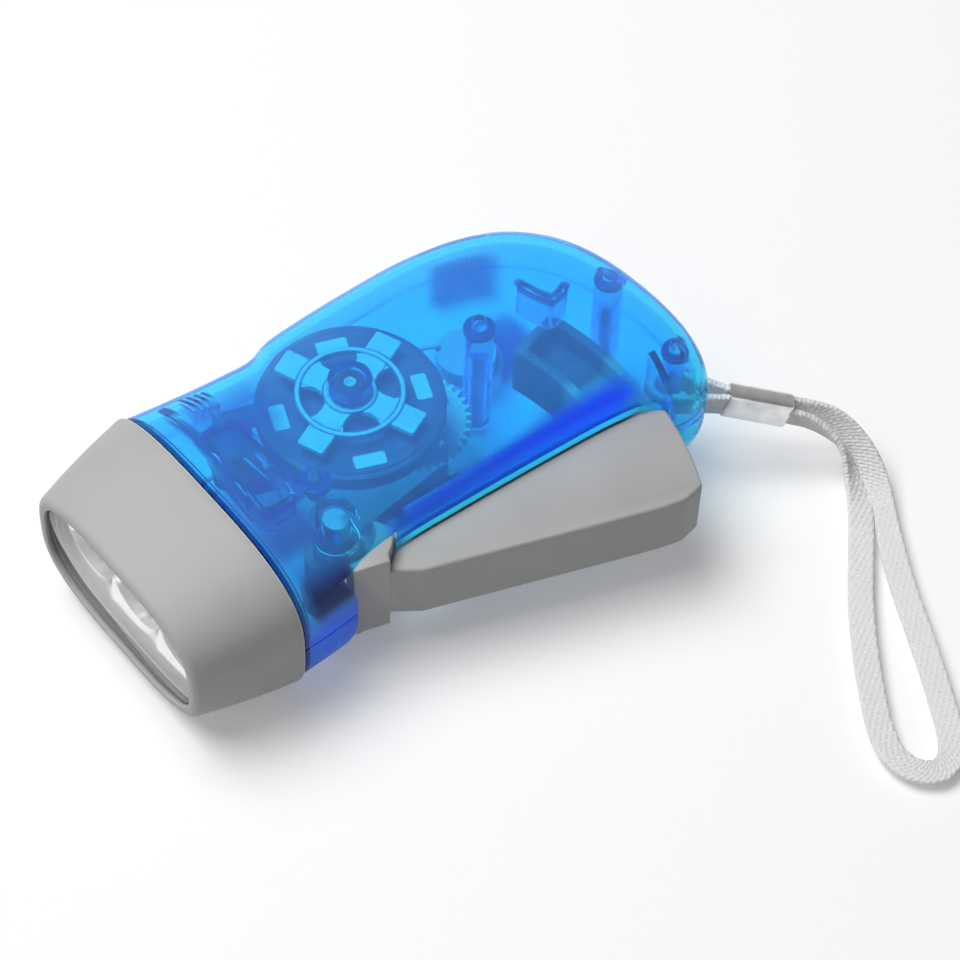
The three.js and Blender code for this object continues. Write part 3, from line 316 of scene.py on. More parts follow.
def solid(shape):
    """A working solid in millimetres."""
    if isinstance(shape, bpy.types.Object):
        return shape
    points, faces = shape
    mesh = bpy.data.meshes.new("working")
    mesh.from_pydata([tuple(p) for p in points], [], faces)
    form = bmesh.new()
    form.from_mesh(mesh)
    bmesh.ops.remove_doubles(form, verts=form.verts, dist=1e-5)
    bmesh.ops.recalc_face_normals(form, faces=form.faces)
    form.to_mesh(mesh)
    form.free()
    return linked("working", mesh)


def combined(operation, base, *shapes):
    """Joins, cuts or trims a shape or working solid with others, which are used up."""
    base = solid(base)
    for shape in shapes:
        other = solid(shape)
        modifier = base.modifiers.new("step", "BOOLEAN")
        modifier.solver = "MANIFOLD"
        modifier.operation = operation
        modifier.object = other
        graph = bpy.context.evaluated_depsgraph_get()
        mesh = bpy.data.meshes.new_from_object(base.evaluated_get(graph))
        base.modifiers.remove(modifier)
        old = base.data
        base.data = mesh
        bpy.data.meshes.remove(old)
        bpy.data.objects.remove(other)
    return base


joined, cut, trimmed = (partial(combined, operation) for operation in ("UNION", "DIFFERENCE", "INTERSECT"))


def dress(mesh, material, smooth):
    mesh.materials.clear()
    mesh.materials.append(material)
    mesh.polygons.foreach_set("use_smooth", [True] * len(mesh.polygons))
    mesh.set_sharp_from_angle(angle=math.radians(smooth))


def piece(name, shape, material, body="housing", node=None, smooth=35):
    """A finished piece from a shape or working solid in millimetres."""
    obj = solid(shape)
    obj.name = obj.data.name = name
    co = np.empty(len(obj.data.vertices) * 3)
    obj.data.vertices.foreach_get("co", co)
    obj.data.vertices.foreach_set("co", at(co.reshape(-1, 3)).ravel())
    dress(obj.data, material, smooth)
    obj.data.update()
    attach(obj, body)
    if node:
        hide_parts(node)
    return obj


def kept(name, material, bevel, smooth):
    """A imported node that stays, with its material and softened edges."""
    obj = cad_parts[name]
    dress(obj.data, material, smooth)
    if bevel:
        modifier = obj.modifiers.new("edges", "BEVEL")
        modifier.width = bevel * MM
        modifier.segments = 2
        modifier.limit_method = "ANGLE"
        modifier.angle_limit = math.radians(40)
        modifier.harden_normals = True


# Camera
CAMERA_AIM = Vector((-0.0026, 0.0066384, 0.015))
CAMERA_DISTANCE = 0.50713
CAMERA_ELEVATION = math.radians(54.184)
CAMERA_AZIMUTH = math.radians(-37.872)
CAMERA_ROLL = math.radians(-0.367)
lens_data = bpy.data.cameras.new("camera")
lens_data.lens = 120
lens_data.sensor_width = 36
lens_data.shift_x = 0.1154
lens_data.shift_y = -0.0214
lens_data.clip_start = 0.01
lens_data.clip_end = 20
back = Vector((math.sin(CAMERA_AZIMUTH) * math.cos(CAMERA_ELEVATION),
               -math.cos(CAMERA_AZIMUTH) * math.cos(CAMERA_ELEVATION), math.sin(CAMERA_ELEVATION)))
right = Vector((math.cos(CAMERA_AZIMUTH), math.sin(CAMERA_AZIMUTH), 0))
rise = back.cross(right)
right, rise = (right * math.cos(CAMERA_ROLL) + rise * math.sin(CAMERA_ROLL),
               rise * math.cos(CAMERA_ROLL) - right * math.sin(CAMERA_ROLL))
camera = linked("camera", lens_data)
camera.matrix_world = Matrix.Translation(CAMERA_AIM + back * CAMERA_DISTANCE) @ Matrix(
    (right, rise, back)).transposed().to_4x4()
bpy.context.scene.camera = camera


# Materials
class Nodes:
    """The nodes of a material or world. Distances in them are metres, in the piece's own frame."""

    def __init__(self, owner, space="Object"):
        owner.use_nodes = True
        self.owner, self.tree = owner, owner.node_tree
        self.tree.nodes.clear()
        self.place = self.add("TexCoord").outputs[space]

    def add(self, kind, settings=None, **inputs):
        node = self.tree.nodes.new("ShaderNode" + kind)
        for key, value in (settings or {}).items():
            setattr(node, key, value)
        for key, value in inputs.items():
            self.put(node.inputs[int(key[1:]) if key[0] == "_" else key.replace("_", " ")], value)
        return node

    def out(self, kind, settings=None, **inputs):
        return self.add(kind, settings, **inputs).outputs[0]

    def put(self, socket, value):
        if isinstance(value, bpy.types.NodeSocket):
            self.tree.links.new(value, socket)
        elif hasattr(value, "__len__") and socket.type == "RGBA" and len(value) == 3:
            socket.default_value = (*value, 1)
        else:
            socket.default_value = value

    def noise(self, scale, detail=2.0, roughness=0.5, place=None):
        return self.add("TexNoise", Vector=place or self.place, Scale=scale, Detail=detail,
                        Roughness=roughness).outputs["Fac"]

    def spread(self, value, low, high, start=0.3, end=0.7):
        return self.out("MapRange", Value=value, From_Min=start, From_Max=end, To_Min=low, To_Max=high)

    def blend(self, factor, a, b):
        return self.add("Mix", {"data_type": "RGBA"}, _0=factor, _6=a, _7=b).outputs[2]

    def math(self, operation, a, b=0.0):
        return self.out("Math", {"operation": operation}, _0=a, _1=b)

    def times(self, a, b):
        return self.math("MULTIPLY", a, b)

    def rest(self, a):
        return self.math("SUBTRACT", 1.0, a)

    def vector(self, operation, a, b):
        return self.add("VectorMath", {"operation": operation}, _0=a, _1=b).outputs

    def apart(self, a, b):
        return self.vector("DISTANCE", a, b)["Value"]

    def split(self, vector=None):
        return self.add("SeparateXYZ", Vector=vector or self.place).outputs

    def flat(self, x, y):
        return self.out("CombineXYZ", X=x, Y=y)

    def bump(self, height, depth, strength=1.0):
        """depth is in metres."""
        return self.out("Bump", Height=height, Distance=depth, Strength=strength)

    def principled(self, **inputs):
        return self.out("BsdfPrincipled", **inputs)

    def mix(self, factor, a, b):
        return self.out("MixShader", _0=factor, _1=a, _2=b)

    def sum(self, a, b):
        return self.out("AddShader", _0=a, _1=b)

    def show(self, shader, volume=None):
        output = self.add("OutputMaterial", Surface=shader)
        if volume:
            self.put(output.inputs["Volume"], volume)
        return self.owner


def blank(name):
    return Nodes(bpy.data.materials.new(name))


def plan_spot(place):
    """A place in the layout's plan, in metres."""
    return (*at((*place, 0))[:2], 0)


def moulded(name, dark, light, roughness=0.42, grain=1800, depth=4e-6, wear=0.2, painted_shade_inside=None, rear=None,
            painted_shade_radii=()):
    """Moulded plastic: a fine spark-eroded grain, faint colour drift and paler, rubbed edges. greased gives
    the least X and Y of what lies in shade inside the body, which is painted dark as shade, rear the X of
    the head's rear rim, along which a pale highlight is painted, and lines the radii of rings of painted
    shade about the rotor's axle."""
    f = blank(name)
    drift = f.noise(90, 4)
    colour = f.blend(f.spread(drift, 0, 1), dark, light)
    x, y, _ = f.split()
    # A pale painted highlight along the head's rear rim.
    if rear is not None:
        edge = f.spread(x, 0, 1, (rear + ORIGIN[0] - 0.34) * MM, (rear + ORIGIN[0] - 0.2) * MM)
        edge = f.times(edge, f.math("LESS_THAN", x, (rear + ORIGIN[0] + 0.1) * MM))
        colour = f.blend(f.times(edge, 0.8), colour, (0.80, 0.80, 0.76))
    # Painted shade: what lies inside the body beyond these places is coloured dark.
    if painted_shade_inside:
        low_x, low_y = np.array(painted_shade_inside) + ORIGIN[:2]
        inside = f.times(f.math("GREATER_THAN", x, low_x * MM),
                         f.spread(y, 0, 1, (low_y - 1) * MM, (low_y + 1) * MM))
        colour = f.blend(f.times(inside, 0.9), colour, (0.07, 0.03, 0.11))
    # Rings of painted shade at the edges of the frame's raised rings.
    for radius in painted_shade_radii:
        off = f.math("ABSOLUTE", f.math("SUBTRACT", f.apart(f.flat(x, y), plan_spot(ROTOR)), radius * MM))
        colour = f.blend(f.spread(off, 0.85, 0, 0.13 * MM, 0.22 * MM), colour, (0.06, 0.10, 0.34))
    rubbed = tuple(min(1, c * 1.25 + 0.02) for c in light)
    edges = f.spread(f.add("NewGeometry").outputs["Pointiness"], 0.0, 1.0, 0.52, 0.62)
    colour = f.blend(f.times(edges, wear), colour, rubbed)
    fine = f.noise(grain, 3, 0.6)
    uneven = f.math("ADD", f.times(drift, 0.5), f.times(fine, 0.5))
    return f.show(f.principled(
        Base_Color=colour, Roughness=f.spread(uneven, roughness - 0.07, roughness + 0.08),
        Specular_IOR_Level=0.4, Normal=f.bump(fine, depth, 0.7)))


def metal(name, colour, tint, roughness, scale=(400, 400, 6000), depth=2e-6, metallic=1.0):
    """Metal with fine drawing or turning marks and slight staining."""
    f = blank(name)
    marks = f.noise(1.0, 3, 0.6, f.out("Mapping", Vector=f.place, Scale=scale))
    stain = f.spread(f.noise(350, 4), 0, 1, 0.4, 0.75)
    return f.show(f.principled(
        Base_Color=f.blend(stain, colour, tint), Metallic=metallic,
        Roughness=f.spread(marks, roughness * 0.75, roughness * 1.35), Normal=f.bump(marks, depth, 0.6)))


def stroke_distance(f, plan, start, end):
    """Distance in the plan from a stroke between two places of the layout."""
    a, b = (np.array(plan_spot(p)) for p in (start, end))
    run = b - a
    off = f.vector("SUBTRACT", plan, tuple(a))[0]
    share = f.out("Clamp", Value=f.vector("DOT_PRODUCT", off, tuple(run / (run @ run)))["Value"])
    return f.apart(off, f.out("VectorMath", {"operation": "SCALE"}, _0=tuple(run), Scale=share))


EVEN = (1.2, 1.2, 1.2)
SLOT = ((39.5, 84), (-60, -19.2))
ALL = (-100, 200)
SHADE_AND_GLOW_BLOCKS = (  # blocks of painted shade, and along the slot a painted glow: ranges of X, Y and Z, their soft ends, colour, share, and whether light comes through
    ((18, 31), (-60, -18), (-20, 4), EVEN, (0.0, 0.08, 0.62), 0.5, True),  # painted shade in the corner under the head
    ((20.8, 28.8), (-60, -16.5), (5.2, 10.8), (1.0, 1.0, 1.0), (0.0, 0.008, 0.13), 0.80, False),
    ((19.5, 28), (-16.5, -0.5), (11.5, 15), (1.3, 1.3, 1.3), (0.05, 0.03, 0.30), 0.5, False),
    ((24, 36), (4, 13.5), (11.5, 15.6), (1.6, 1.6, 1.6), (0.03, 0.09, 0.55), 0.40, False),
    ((78.7, 88.7), (13.3, 40), (-7.5, 3.5), EVEN, (0.0, 0.09, 0.70), 0.6, False),  # patches of painted shadow, far side
    ((81, 90.5), (4.5, 14.5), (-16, -11), (1.0, 1.0, 1.0), (0.02, 0.03, 0.36), 0.75, False),
    (*SLOT, (7.2, 11.2), (2.5, 1.2, 0.6), (0.0, 0.12, 0.68), 0.84, True),  # wall over the lever's slot, painted darker, with a painted cyan glow along its edge and a painted shadow line below
    (*SLOT, (9.4, 11.8), (2.5, 1.2, 0.8), (0.0, 0.03, 0.45), 0.5, True),
    (*SLOT, (6.45, 7.45), (2.5, 1.2, 0.1), (0.05, 0.90, 1.0), 1.0, True),
    (*SLOT, (6.0, 6.42), (2.5, 1.2, 0.05), (0.0, 0.004, 0.03), 1.0, False),
    ((17.9, 19.0), ALL, ALL, (0.15, 1.0, 1.0), (0.0, 0.006, 0.20), 0.82, False),  # painted shade in the gap behind the head's edge
)


def shell_shade_and_glow(f):
    """Where the shells' plastic is painted, as (mask, colour, share, lit through) rows: the blocks, painted
    with shade and, along the slot, a painted glow; the feet of the ribs and the posts' collars, painted with
    dark shade."""
    places = f.split()
    plan = f.flat(places[0], places[1])

    def between(axis, low, high, soft):
        """1 where a coordinate lies between two places of the layout, with soft ends."""
        shift = ORIGIN[axis]
        low, high = ([(end + shift - soft) * MM, (end + shift + soft) * MM] for end in (low, high))
        return f.times(f.spread(places[axis], 0, 1, *low), f.spread(places[axis], 1, 0, *high))

    def disc(spot, radius, low, high):
        """1 round an upright axis, between two heights."""
        run = f.apart(plan, plan_spot(spot))
        return f.times(f.spread(run, 1, 0, radius * MM, (radius + 0.15) * MM), between(2, low, high, 0.1))

    rows = []
    for *ranges, soft, colour, share, lit_through in SHADE_AND_GLOW_BLOCKS:
        in_x, in_y, in_z = (between(axis, *ranges[axis], soft[axis]) for axis in range(3))
        rows.append((f.times(f.times(in_x, in_y), in_z), colour, share, lit_through))
    # The bush boss over the rotor and the posts' collars get rings of painted shade.
    rings = disc(ROTOR, 3.55, 10.3, 11.2)
    for (_, x, y, _, _), (radius, level) in zip(POSTS, COLLARS):
        rings = f.math("MAXIMUM", rings, disc((x, y), radius + 0.1, level - COLLAR_HEIGHT, level + 0.2))
    # The feet of the ribs and pocket walls get dark strokes of painted shade.
    strokes = 0.0
    for half, line in STROKES:
        for start, end in zip(line, line[1:]):
            off = stroke_distance(f, plan, start, end)
            strokes = f.math("MAXIMUM", strokes, f.spread(off, 1, 0, (half - 0.1) * MM, (half + 0.1) * MM))
    strokes = f.times(strokes, between(2, 11.9, 13.95, 0.3))
    return (*rows, (strokes, (0.03, 0.01, 0.30), 0.78, False), (rings, (0.055, 0.008, 0.22), 0.93, False))


def pane_edge_shade(f):
    """The pane's cut edge, painted near black as the shade in the gap inside the rim."""
    x = f.split(f.add("TexCoord").outputs["Normal"])[0]
    return ((f.math("LESS_THAN", f.math("ABSOLUTE", x), 0.5), (0.003, 0.003, 0.003), 0.98, False),)


def clear_plastic(name, haze, haze_edge, amount, roughness, absorb=None, tint=(1, 1, 1), grain=0.3,
                  mirror=1.0, keep=1.0, bend=1.0, painted_shade_and_glow=None):
    """See-through plastic: it lets lamps in, veils what is behind it and mirrors at its edges. absorb is the
    share of red, green and blue that passes a millimetre, tint the share that passes a face, keep the share
    of the veil that hides what is behind it, and deep gives the places painted with shade, on the shells
    with a painted glow along the slot as well."""
    f = blank(name)
    fine = f.noise(1500, 3)
    edge = f.math("POWER", f.add("LayerWeight", Blend=0.25).outputs["Facing"], 3.0)
    normal = f.bump(f.math("ADD", f.times(fine, 0.15), f.noise(130, 2)), 2.5e-5, grain)
    rays = f.add("LightPath").outputs
    straight = f.math("MAXIMUM", rays["Is Shadow Ray"], rays["Is Diffuse Ray"])
    entering = f.rest(f.add("NewGeometry").outputs["Backfacing"])
    share = f.times(f.spread(f.noise(220, 3), amount * 0.92, amount * 1.08), entering)
    share = f.times(share, f.rest(f.times(rays["Is Shadow Ray"], 0.86)))
    passing = f.out("BsdfTransparent", Color=tuple(1 - 0.08 * (1 - c) for c in tint))
    bent = f.out("BsdfGlass", Color=tint, IOR=bend, Roughness=0.015)
    blocked = f.out("BsdfTransparent", Color=(0, 0, 0))
    through = f.mix(f.times(share, keep), f.mix(straight, bent, passing), blocked)
    veil = f.mix(share, blocked, f.principled(Base_Color=f.blend(edge, haze, haze_edge), Roughness=0.6,
                                              Normal=normal, Specular_IOR_Level=0.0))
    body = f.sum(through, veil)
    # Painted shade, and on the shells a painted glow along the slot, laid over the plastic where each mask is
    # set.
    for mask, painted_colour, weight, lit_through in painted_shade_and_glow(f) if painted_shade_and_glow else ():
        shade = f.principled(Base_Color=painted_colour, Roughness=0.5, Specular_IOR_Level=0.0)
        if lit_through:
            shade = f.sum(shade, f.out("BsdfTranslucent", Color=painted_colour))
        body = f.mix(f.times(mask, weight), body, shade)
    gloss = f.out("BsdfGlossy", Color=(1, 1, 1), Roughness=f.spread(fine, roughness * 0.8, roughness * 1.3),
                  Normal=normal)
    bounce = f.times(f.times(f.out("Fresnel", IOR=1.45), entering), f.times(f.rest(straight), mirror))
    volume = None
    if absorb:
        loss = [-math.log(a) / MM for a in absorb]
        volume = f.out("VolumeAbsorption", Color=[1 - s / max(loss) for s in loss], Density=max(loss))
    return f.show(f.mix(bounce, body, gloss), volume)


def webbing_finish(name):
    """Woven off-white polyester: rows of crossing yarns along the band, with soft fuzz and faint soiling."""
    f = blank(name)
    band = f.out("UVMap", {"uv_map": "band"})
    along, across, _ = f.split(band)
    yarn = 2 * math.pi
    rows = f.math("SINE", f.times(along, yarn / 1.1))
    columns = f.math("SINE", f.math("ADD", f.times(across, yarn / 1.0), f.times(along, yarn / 2.2)))
    weave = f.times(rows, columns)
    fibre = f.noise(1.0, 3, 0.7, f.out("Mapping", Vector=band, Scale=(9, 22, 1)))
    height = f.math("ADD", f.spread(weave, 0, 1, -1, 1), f.times(fibre, 0.5))
    colour = f.blend(f.spread(f.noise(120, 4), 0, 1, 0.35, 0.75), (1.0, 1.0, 1.0), (0.97, 0.97, 0.965))
    # Painted shade in the hollows between the yarns.
    colour = f.blend(f.spread(weave, 0.4, 0, -1, 0.2), colour, (0.80, 0.80, 0.80))
    normal = f.bump(height, 1.8e-4, 0.9)
    cloth = f.principled(Base_Color=colour, Roughness=0.85, Specular_IOR_Level=0.25, Sheen_Weight=0.35,
                         Sheen_Roughness=0.5, Normal=normal)
    return f.show(f.mix(0.22, cloth, f.out("BsdfTranslucent", Color=colour, Normal=normal)))


def board_finish(name):
    """Circuit board: green lacquer over copper tracks, with tinned pads."""
    f = blank(name)
    _, y, z = f.split()
    plane = f.flat(y, z)
    tracks = f.add("TexBrick", Vector=plane, Scale=260.0, Mortar_Size=0.05, Brick_Width=1.7,
                   Row_Height=0.8).outputs["Fac"]
    pads = f.add("TexVoronoi", Vector=plane, Scale=420.0).outputs["Distance"]
    lacquer = f.blend(tracks, (0.012, 0.10, 0.035), (0.03, 0.20, 0.07))
    pad = f.math("LESS_THAN", pads, 0.17)
    return f.show(f.principled(Base_Color=f.blend(pad, lacquer, (0.72, 0.70, 0.66)), Metallic=pad,
                               Roughness=f.spread(pads, 0.28, 0.45), Normal=f.bump(tracks, 3e-5, 0.6)))


def copper_finish(name):
    """Lacquered copper wire, with darker and lighter turns."""
    f = blank(name)
    colour = f.blend(f.spread(f.noise(500, 3), 0, 1), (0.50, 0.14, 0.035), (0.78, 0.29, 0.09))
    return f.show(f.principled(
        Base_Color=colour, Metallic=0.85, Roughness=f.spread(f.noise(4000, 2), 0.22, 0.4),
        Coat_Weight=0.5, Coat_Roughness=0.15, Normal=f.bump(f.noise(5000, 2), 6e-6, 0.5)))


CAST = (900, 900, 900)  # marks without a direction
GREY = moulded("grey plastic", (0.395, 0.400, 0.398), (0.425, 0.430, 0.427), 0.52, 2600, 8e-6, 0.35,
               painted_shade_inside=(70, -13), rear=HEAD_LENGTH)
BLUE = clear_plastic("clear blue plastic", (0.08, 0.32, 1.0), (0.0, 0.17, 1.0), 0.42, 0.09,
                     absorb=(0.95, 0.985, 0.9995), tint=(0.215, 0.915, 1.0), mirror=0.5, keep=0.66,
                     bend=1.18, painted_shade_and_glow=shell_shade_and_glow)
PANE = clear_plastic("clear lens plastic", (0.9, 0.95, 1.0), (0.9, 0.95, 1.0), 0.015, 0.04, grain=0.06,
                     painted_shade_and_glow=pane_edge_shade)
EPOXY = clear_plastic("clear lamp resin", (0.95, 0.97, 1.0), (0.8, 0.86, 0.92), 0.10, 0.03, grain=0.05)
BRIGHT = metal("bright reflector coating", (0.99, 0.99, 0.99), (0.96, 0.965, 0.975), 0.14, CAST, 3e-6, 0.5)
STEEL = metal("steel", (0.56, 0.57, 0.58), (0.45, 0.45, 0.45), 0.28)
PIN_STEEL = metal("oiled pin steel", (0.34, 0.33, 0.37), (0.26, 0.26, 0.29), 0.36)
DARK_STEEL = metal("dark steel", (0.055, 0.058, 0.066), (0.09, 0.085, 0.08), 0.45, CAST, 5e-6, 0.5)
BRASS = metal("brass", (0.72, 0.49, 0.18), (0.55, 0.36, 0.12), 0.25)
BRONZE = metal("bearing bronze", (0.055, 0.022, 0.05), (0.04, 0.02, 0.035), 0.4, CAST, 4e-6, 0.7)
POLISHED = metal("polished metal", (0.74, 0.74, 0.75), (0.58, 0.58, 0.59), 0.13, (300, 300, 2500), 2e-6)
FLYWHEEL_STEEL = metal("flywheel steel", (0.16, 0.045, 0.13), (0.21, 0.085, 0.18), 0.45, CAST, 5e-6, 0.3)
NYLON = moulded("gear nylon", (0.78, 0.80, 0.84), (0.86, 0.88, 0.90))
BLUE_NYLON = moulded("blue gear nylon", (0.30, 0.36, 0.54), (0.38, 0.44, 0.60))
SPIDER = moulded("rotor frame plastic", (0.66, 0.70, 0.76), (0.76, 0.79, 0.83), 0.38, painted_shade_radii=FRAME_RINGS)
SLEEVE = moulded("capacitor sleeve", (0.30, 0.42, 0.62), (0.37, 0.49, 0.68), 0.34)
INSULATION = moulded("wire insulation", (0.34, 0.46, 0.66), (0.42, 0.54, 0.72), 0.45, 2600, 5e-6)
MAGNET = moulded("ring magnet ferrite", (0.035, 0.035, 0.038), (0.065, 0.063, 0.062), 0.5, 5200, 8e-6, 0.5)
BLACK = moulded("black plastic", (0.012, 0.012, 0.013), (0.025, 0.025, 0.027), 0.42, 2600, 5e-6, 0.3)
WEBBING = webbing_finish("strap webbing")
BOARD = board_finish("circuit board")
COPPER = copper_finish("copper winding")


# Wrist strap
STRAP_WIDTH = 4.2
STRAP_THICKNESS = 1.2
TILT_START, TILT_OUT, TILT_BACK = 12.0, 98.0, 76.0  # degrees from standing on edge: at the ends, lying
TILT_TURN = 0.2  # share of the length over which it turns
STRAND_APART = 1.8
CRIMP_START = np.array((100.9, -27.4, -1.2))
CRIMP_END = np.array((108.8, -34.2, -3.8))
CRIMP_ALONG = unit(CRIMP_END - CRIMP_START)
CRIMP_ACROSS = np.array((-CRIMP_ALONG[1], CRIMP_ALONG[0], 0)) / np.hypot(*CRIMP_ALONG[:2])
LOOP_ROUTE = (  # from the crimp's end in the plan, and the height over the table
    (2.1, -3.1, 9.7), (4.1, -6.1, 7.6), (5, -8.9, 5.3), (4.4, -12.2, 2.9), (2.7, -15.4, 1.8),
    (-0.7, -19.5, 1.8), (-5.8, -24.9, 1.8), (-11.1, -30.5, 1.8), (-16.4, -37, 1.8), (-21.3, -43.8, 1.8),
    (-24.9, -49.6, 1.8), (-26.5, -54.4, 1.8), (-25.6, -58.3, 1.8), (-23, -60.4, 1.8), (-19.9, -59.8, 1.8),
    (-17.4, -57.3, 1.8), (-14.3, -52.3, 1.8), (-11.1, -46.6, 1.8), (-7.8, -40.3, 1.8), (-4.3, -33.4, 1.8),
    (-0.7, -27.1, 1.8), (3.3, -20.7, 1.8), (6.3, -15.8, 2.5), (7.5, -11.6, 4.6), (7.2, -7.7, 7),
    (5.6, -4.1, 9.1),
)
TAIL_LEVEL = -0.6


def band_section(count=9):
    """A flat band's section: its edges turned over, so a little thicker than its middle."""
    half, thin = STRAP_WIDTH / 2, STRAP_THICKNESS / 2
    side = [(half - 0.28 + 0.28 * math.cos(a), 0.93 * thin * math.sin(a)) for a in np.linspace(-1.1, 1.1, 5)]
    places = np.linspace(half - 0.5, -half + 0.5, count)
    top = [(x, thin * (0.80 + 0.12 * (abs(x) / half) ** 4)) for x in places]
    return np.array(side + top + [(-x, -y) for x, y in side + top])


def loop_tilt(share):
    lying = lerp(TILT_OUT, TILT_BACK, smoothstep(share, 0.35, 0.65))
    return lerp(TILT_START, lying, smoothstep(min(share, 1 - share), 0, TILT_TURN))


def woven_band(name, node, points, count, tilt_at):
    """A woven band on a path, with its place along and across the band kept for the weave; returns it with
    its path and length."""
    path = catmull(points, count)
    along, across, rise = frames(path)
    run = distances(path)
    tilt = np.radians([tilt_at(k / (count - 1)) for k in range(count)])[:, None]
    wide = rise * np.cos(tilt) + across * np.sin(tilt)
    thick = np.cross(along, wide)
    out, depth = band_section().T
    flat = np.abs(out) < STRAP_WIDTH / 2 - 0.3
    rings, places = [], []
    for k, p in enumerate(path):
        ridge = 0.08 * np.sin(2 * math.pi * run[k] / 0.9 + np.pi * (np.round(out / 0.8) % 2))
        rings.append(p + np.outer(out, wide[k]) + np.outer(depth + np.sign(depth) * ridge * flat, thick[k]))
        places += [(run[k], x) for x in out]
    obj = piece(name, loft(rings), WEBBING, node=node, smooth=80)
    index = np.empty(len(obj.data.loops), int)
    obj.data.loops.foreach_get("vertex_index", index)
    obj.data.uv_layers.new(name="band").data.foreach_set("uv", np.array(places)[index].ravel())
    return obj, path, run[-1]


def leaving(side, centre, gap):
    return centre + CRIMP_ALONG * gap + CRIMP_ACROSS * side * STRAND_APART / 2


route = [leaving(-1, CRIMP_END, -0.5)]
route += [CRIMP_END + (x, y, 0) + (0, 0, FLOOR + height - CRIMP_END[2]) for x, y, height in LOOP_ROUTE]
route += [leaving(1, CRIMP_END, -0.5)]
strap_loop, loop_path, loop_length = woven_band("wrist_strap_loop", "strap_loop", route, 680, loop_tilt)

STRAP_POST = POSTS[0]
tail_centre = np.array((STRAP_POST[1], STRAP_POST[2], TAIL_LEVEL))
away = (CRIMP_START - tail_centre) * (1, 1, 0)
heading = math.degrees(math.atan2(away[1], away[0]))
turn = arc(tail_centre, STRAP_POST[3] + GAP + STRAP_THICKNESS / 2, heading - 105, heading - 255, 8)
strap_tail, _, _ = woven_band(
    "wrist_strap_tail", "strap_tail",
    [leaving(-1, CRIMP_START, 0.7), *((x, y, TAIL_LEVEL) for x, y in turn), leaving(1, CRIMP_START, 0.7)],
    120, lambda share: 0)


def crimp():
    """A sheet-metal sleeve folded round both strands, its edges meeting in a seam along one face."""
    half, thin, bend, seam = 2.85, 1.65, 0.75, 0.12
    outline = filleted([(-half, -thin, bend), (half, -thin, bend), (half, thin, bend), (seam, thin, 0.18),
                        (0, thin - 0.35, 0), (-seam, thin, 0.18), (-half, thin, bend)], 6)
    outline = np.array(outline) * (1, -1)
    rows = ((0, 0.90), (0.012, 0.96), (0.035, 1), (0.2, 1), (0.26, 0.965), (0.32, 1), (0.5, 1), (0.68, 1),
            (0.74, 0.965), (0.8, 1), (0.965, 1), (0.988, 0.96), (1, 0.90))  # share of the length, pinch
    path = np.array([lerp(CRIMP_START, CRIMP_END, share) for share, _ in rows])
    return swept(path, [(outline * (lerp(0.96, 1, pinch), pinch))[:, ::-1] for _, pinch in rows])


strap_crimp = piece("strap_crimp_sleeve", crimp(), POLISHED, node="strap_crimp", smooth=50)


# Head
LENS_RECESS = 0.5
LENS_FRONT = LIP_DEPTH + GAP
LENS_BACK = LENS_FRONT + 1.3
LENS_INSET = HEAD_WALL + GAP
CUP_FRONT = LENS_BACK + GAP
CUP_PLACES = (-12.2, 0.0, 12.2)
CUP_RADIUS = 6.4
CUP_DEPTH = 8.2
CUP_FLOOR = 3.2
CUP_WALL = 0.8
FLANGE = 0.9
LED_BACK = CUP_FRONT + CUP_DEPTH + 1.8 - GAP
LED_RADIUS = 2.5
LED_DOME = 5.7  # where the dome starts


def head_ring(x, inset, steps=144):
    t = min(max(x / HEAD_LENGTH, 0), 1)
    width, height = (lerp(front, rear, t) + 4 * HEAD_BULGE * t * (1 - t)
                     for front, rear in zip(HEAD_FRONT, HEAD_REAR))
    y, z = power_point(2 * math.pi * (np.arange(steps) + 0.5) / steps, HEAD_POWER)
    return np.column_stack((np.full(steps, x), (width - inset) * y, (height - inset) * z))


def head_loft(profile, closed=False):
    """A solid through the head's outline, drawn in, from (place, inset) pairs."""
    return loft([head_ring(x, inset) for x, inset in profile], closed)


def head_bezel():
    front = [(LIP_ROUND * (1 - math.cos(a)), LIP_ROUND * (1 - math.sin(a)))
             for a in np.linspace(0, math.pi / 2, 7)]
    inner = [(LIP_DEPTH, LIP_WALL), (0.25, LIP_WALL), (0.08, LIP_WALL - 0.08), (0, LIP_WALL - 0.3)]
    outside = [(x, 0) for x in np.linspace(LIP_ROUND, HEAD_LENGTH - 0.35, 16)[1:]]
    rear = [(HEAD_LENGTH - 0.16, 0.06), (HEAD_LENGTH - 0.04, 0.2), (HEAD_LENGTH, 0.42),
            (HEAD_LENGTH, HEAD_WALL)]
    inside = [(x, HEAD_WALL) for x in np.linspace(HEAD_LENGTH, LIP_DEPTH, 8)[1:]]
    bezel = head_loft(inner + front + outside + rear + inside, closed=True)
    return cut(bezel, box_shape((HEAD_LENGTH / 2, 0, FLOOR - 10), (60, 80, 20)))


def lens():
    """A pane with a thin edge behind the lip and a raised middle that fills the opening."""
    step = LIP_WALL + GAP
    return head_loft([
        (LENS_RECESS, step + 0.25), (LENS_RECESS + 0.08, step + 0.07), (LENS_RECESS + 0.25, step),
        (LENS_FRONT, step), (LENS_FRONT, LENS_INSET + 0.1), (LENS_FRONT + 0.1, LENS_INSET),
        (LENS_BACK - 0.15, LENS_INSET), (LENS_BACK, LENS_INSET + 0.15)])


def cup_profile(extra, steps=14):
    """(radius, depth) pairs down a cup's curved wall, its radius grown by extra."""
    return [(lerp(CUP_RADIUS, CUP_FLOOR, (k / steps) ** 1.8) + extra, CUP_DEPTH * k / steps)
            for k in range(steps + 1)]


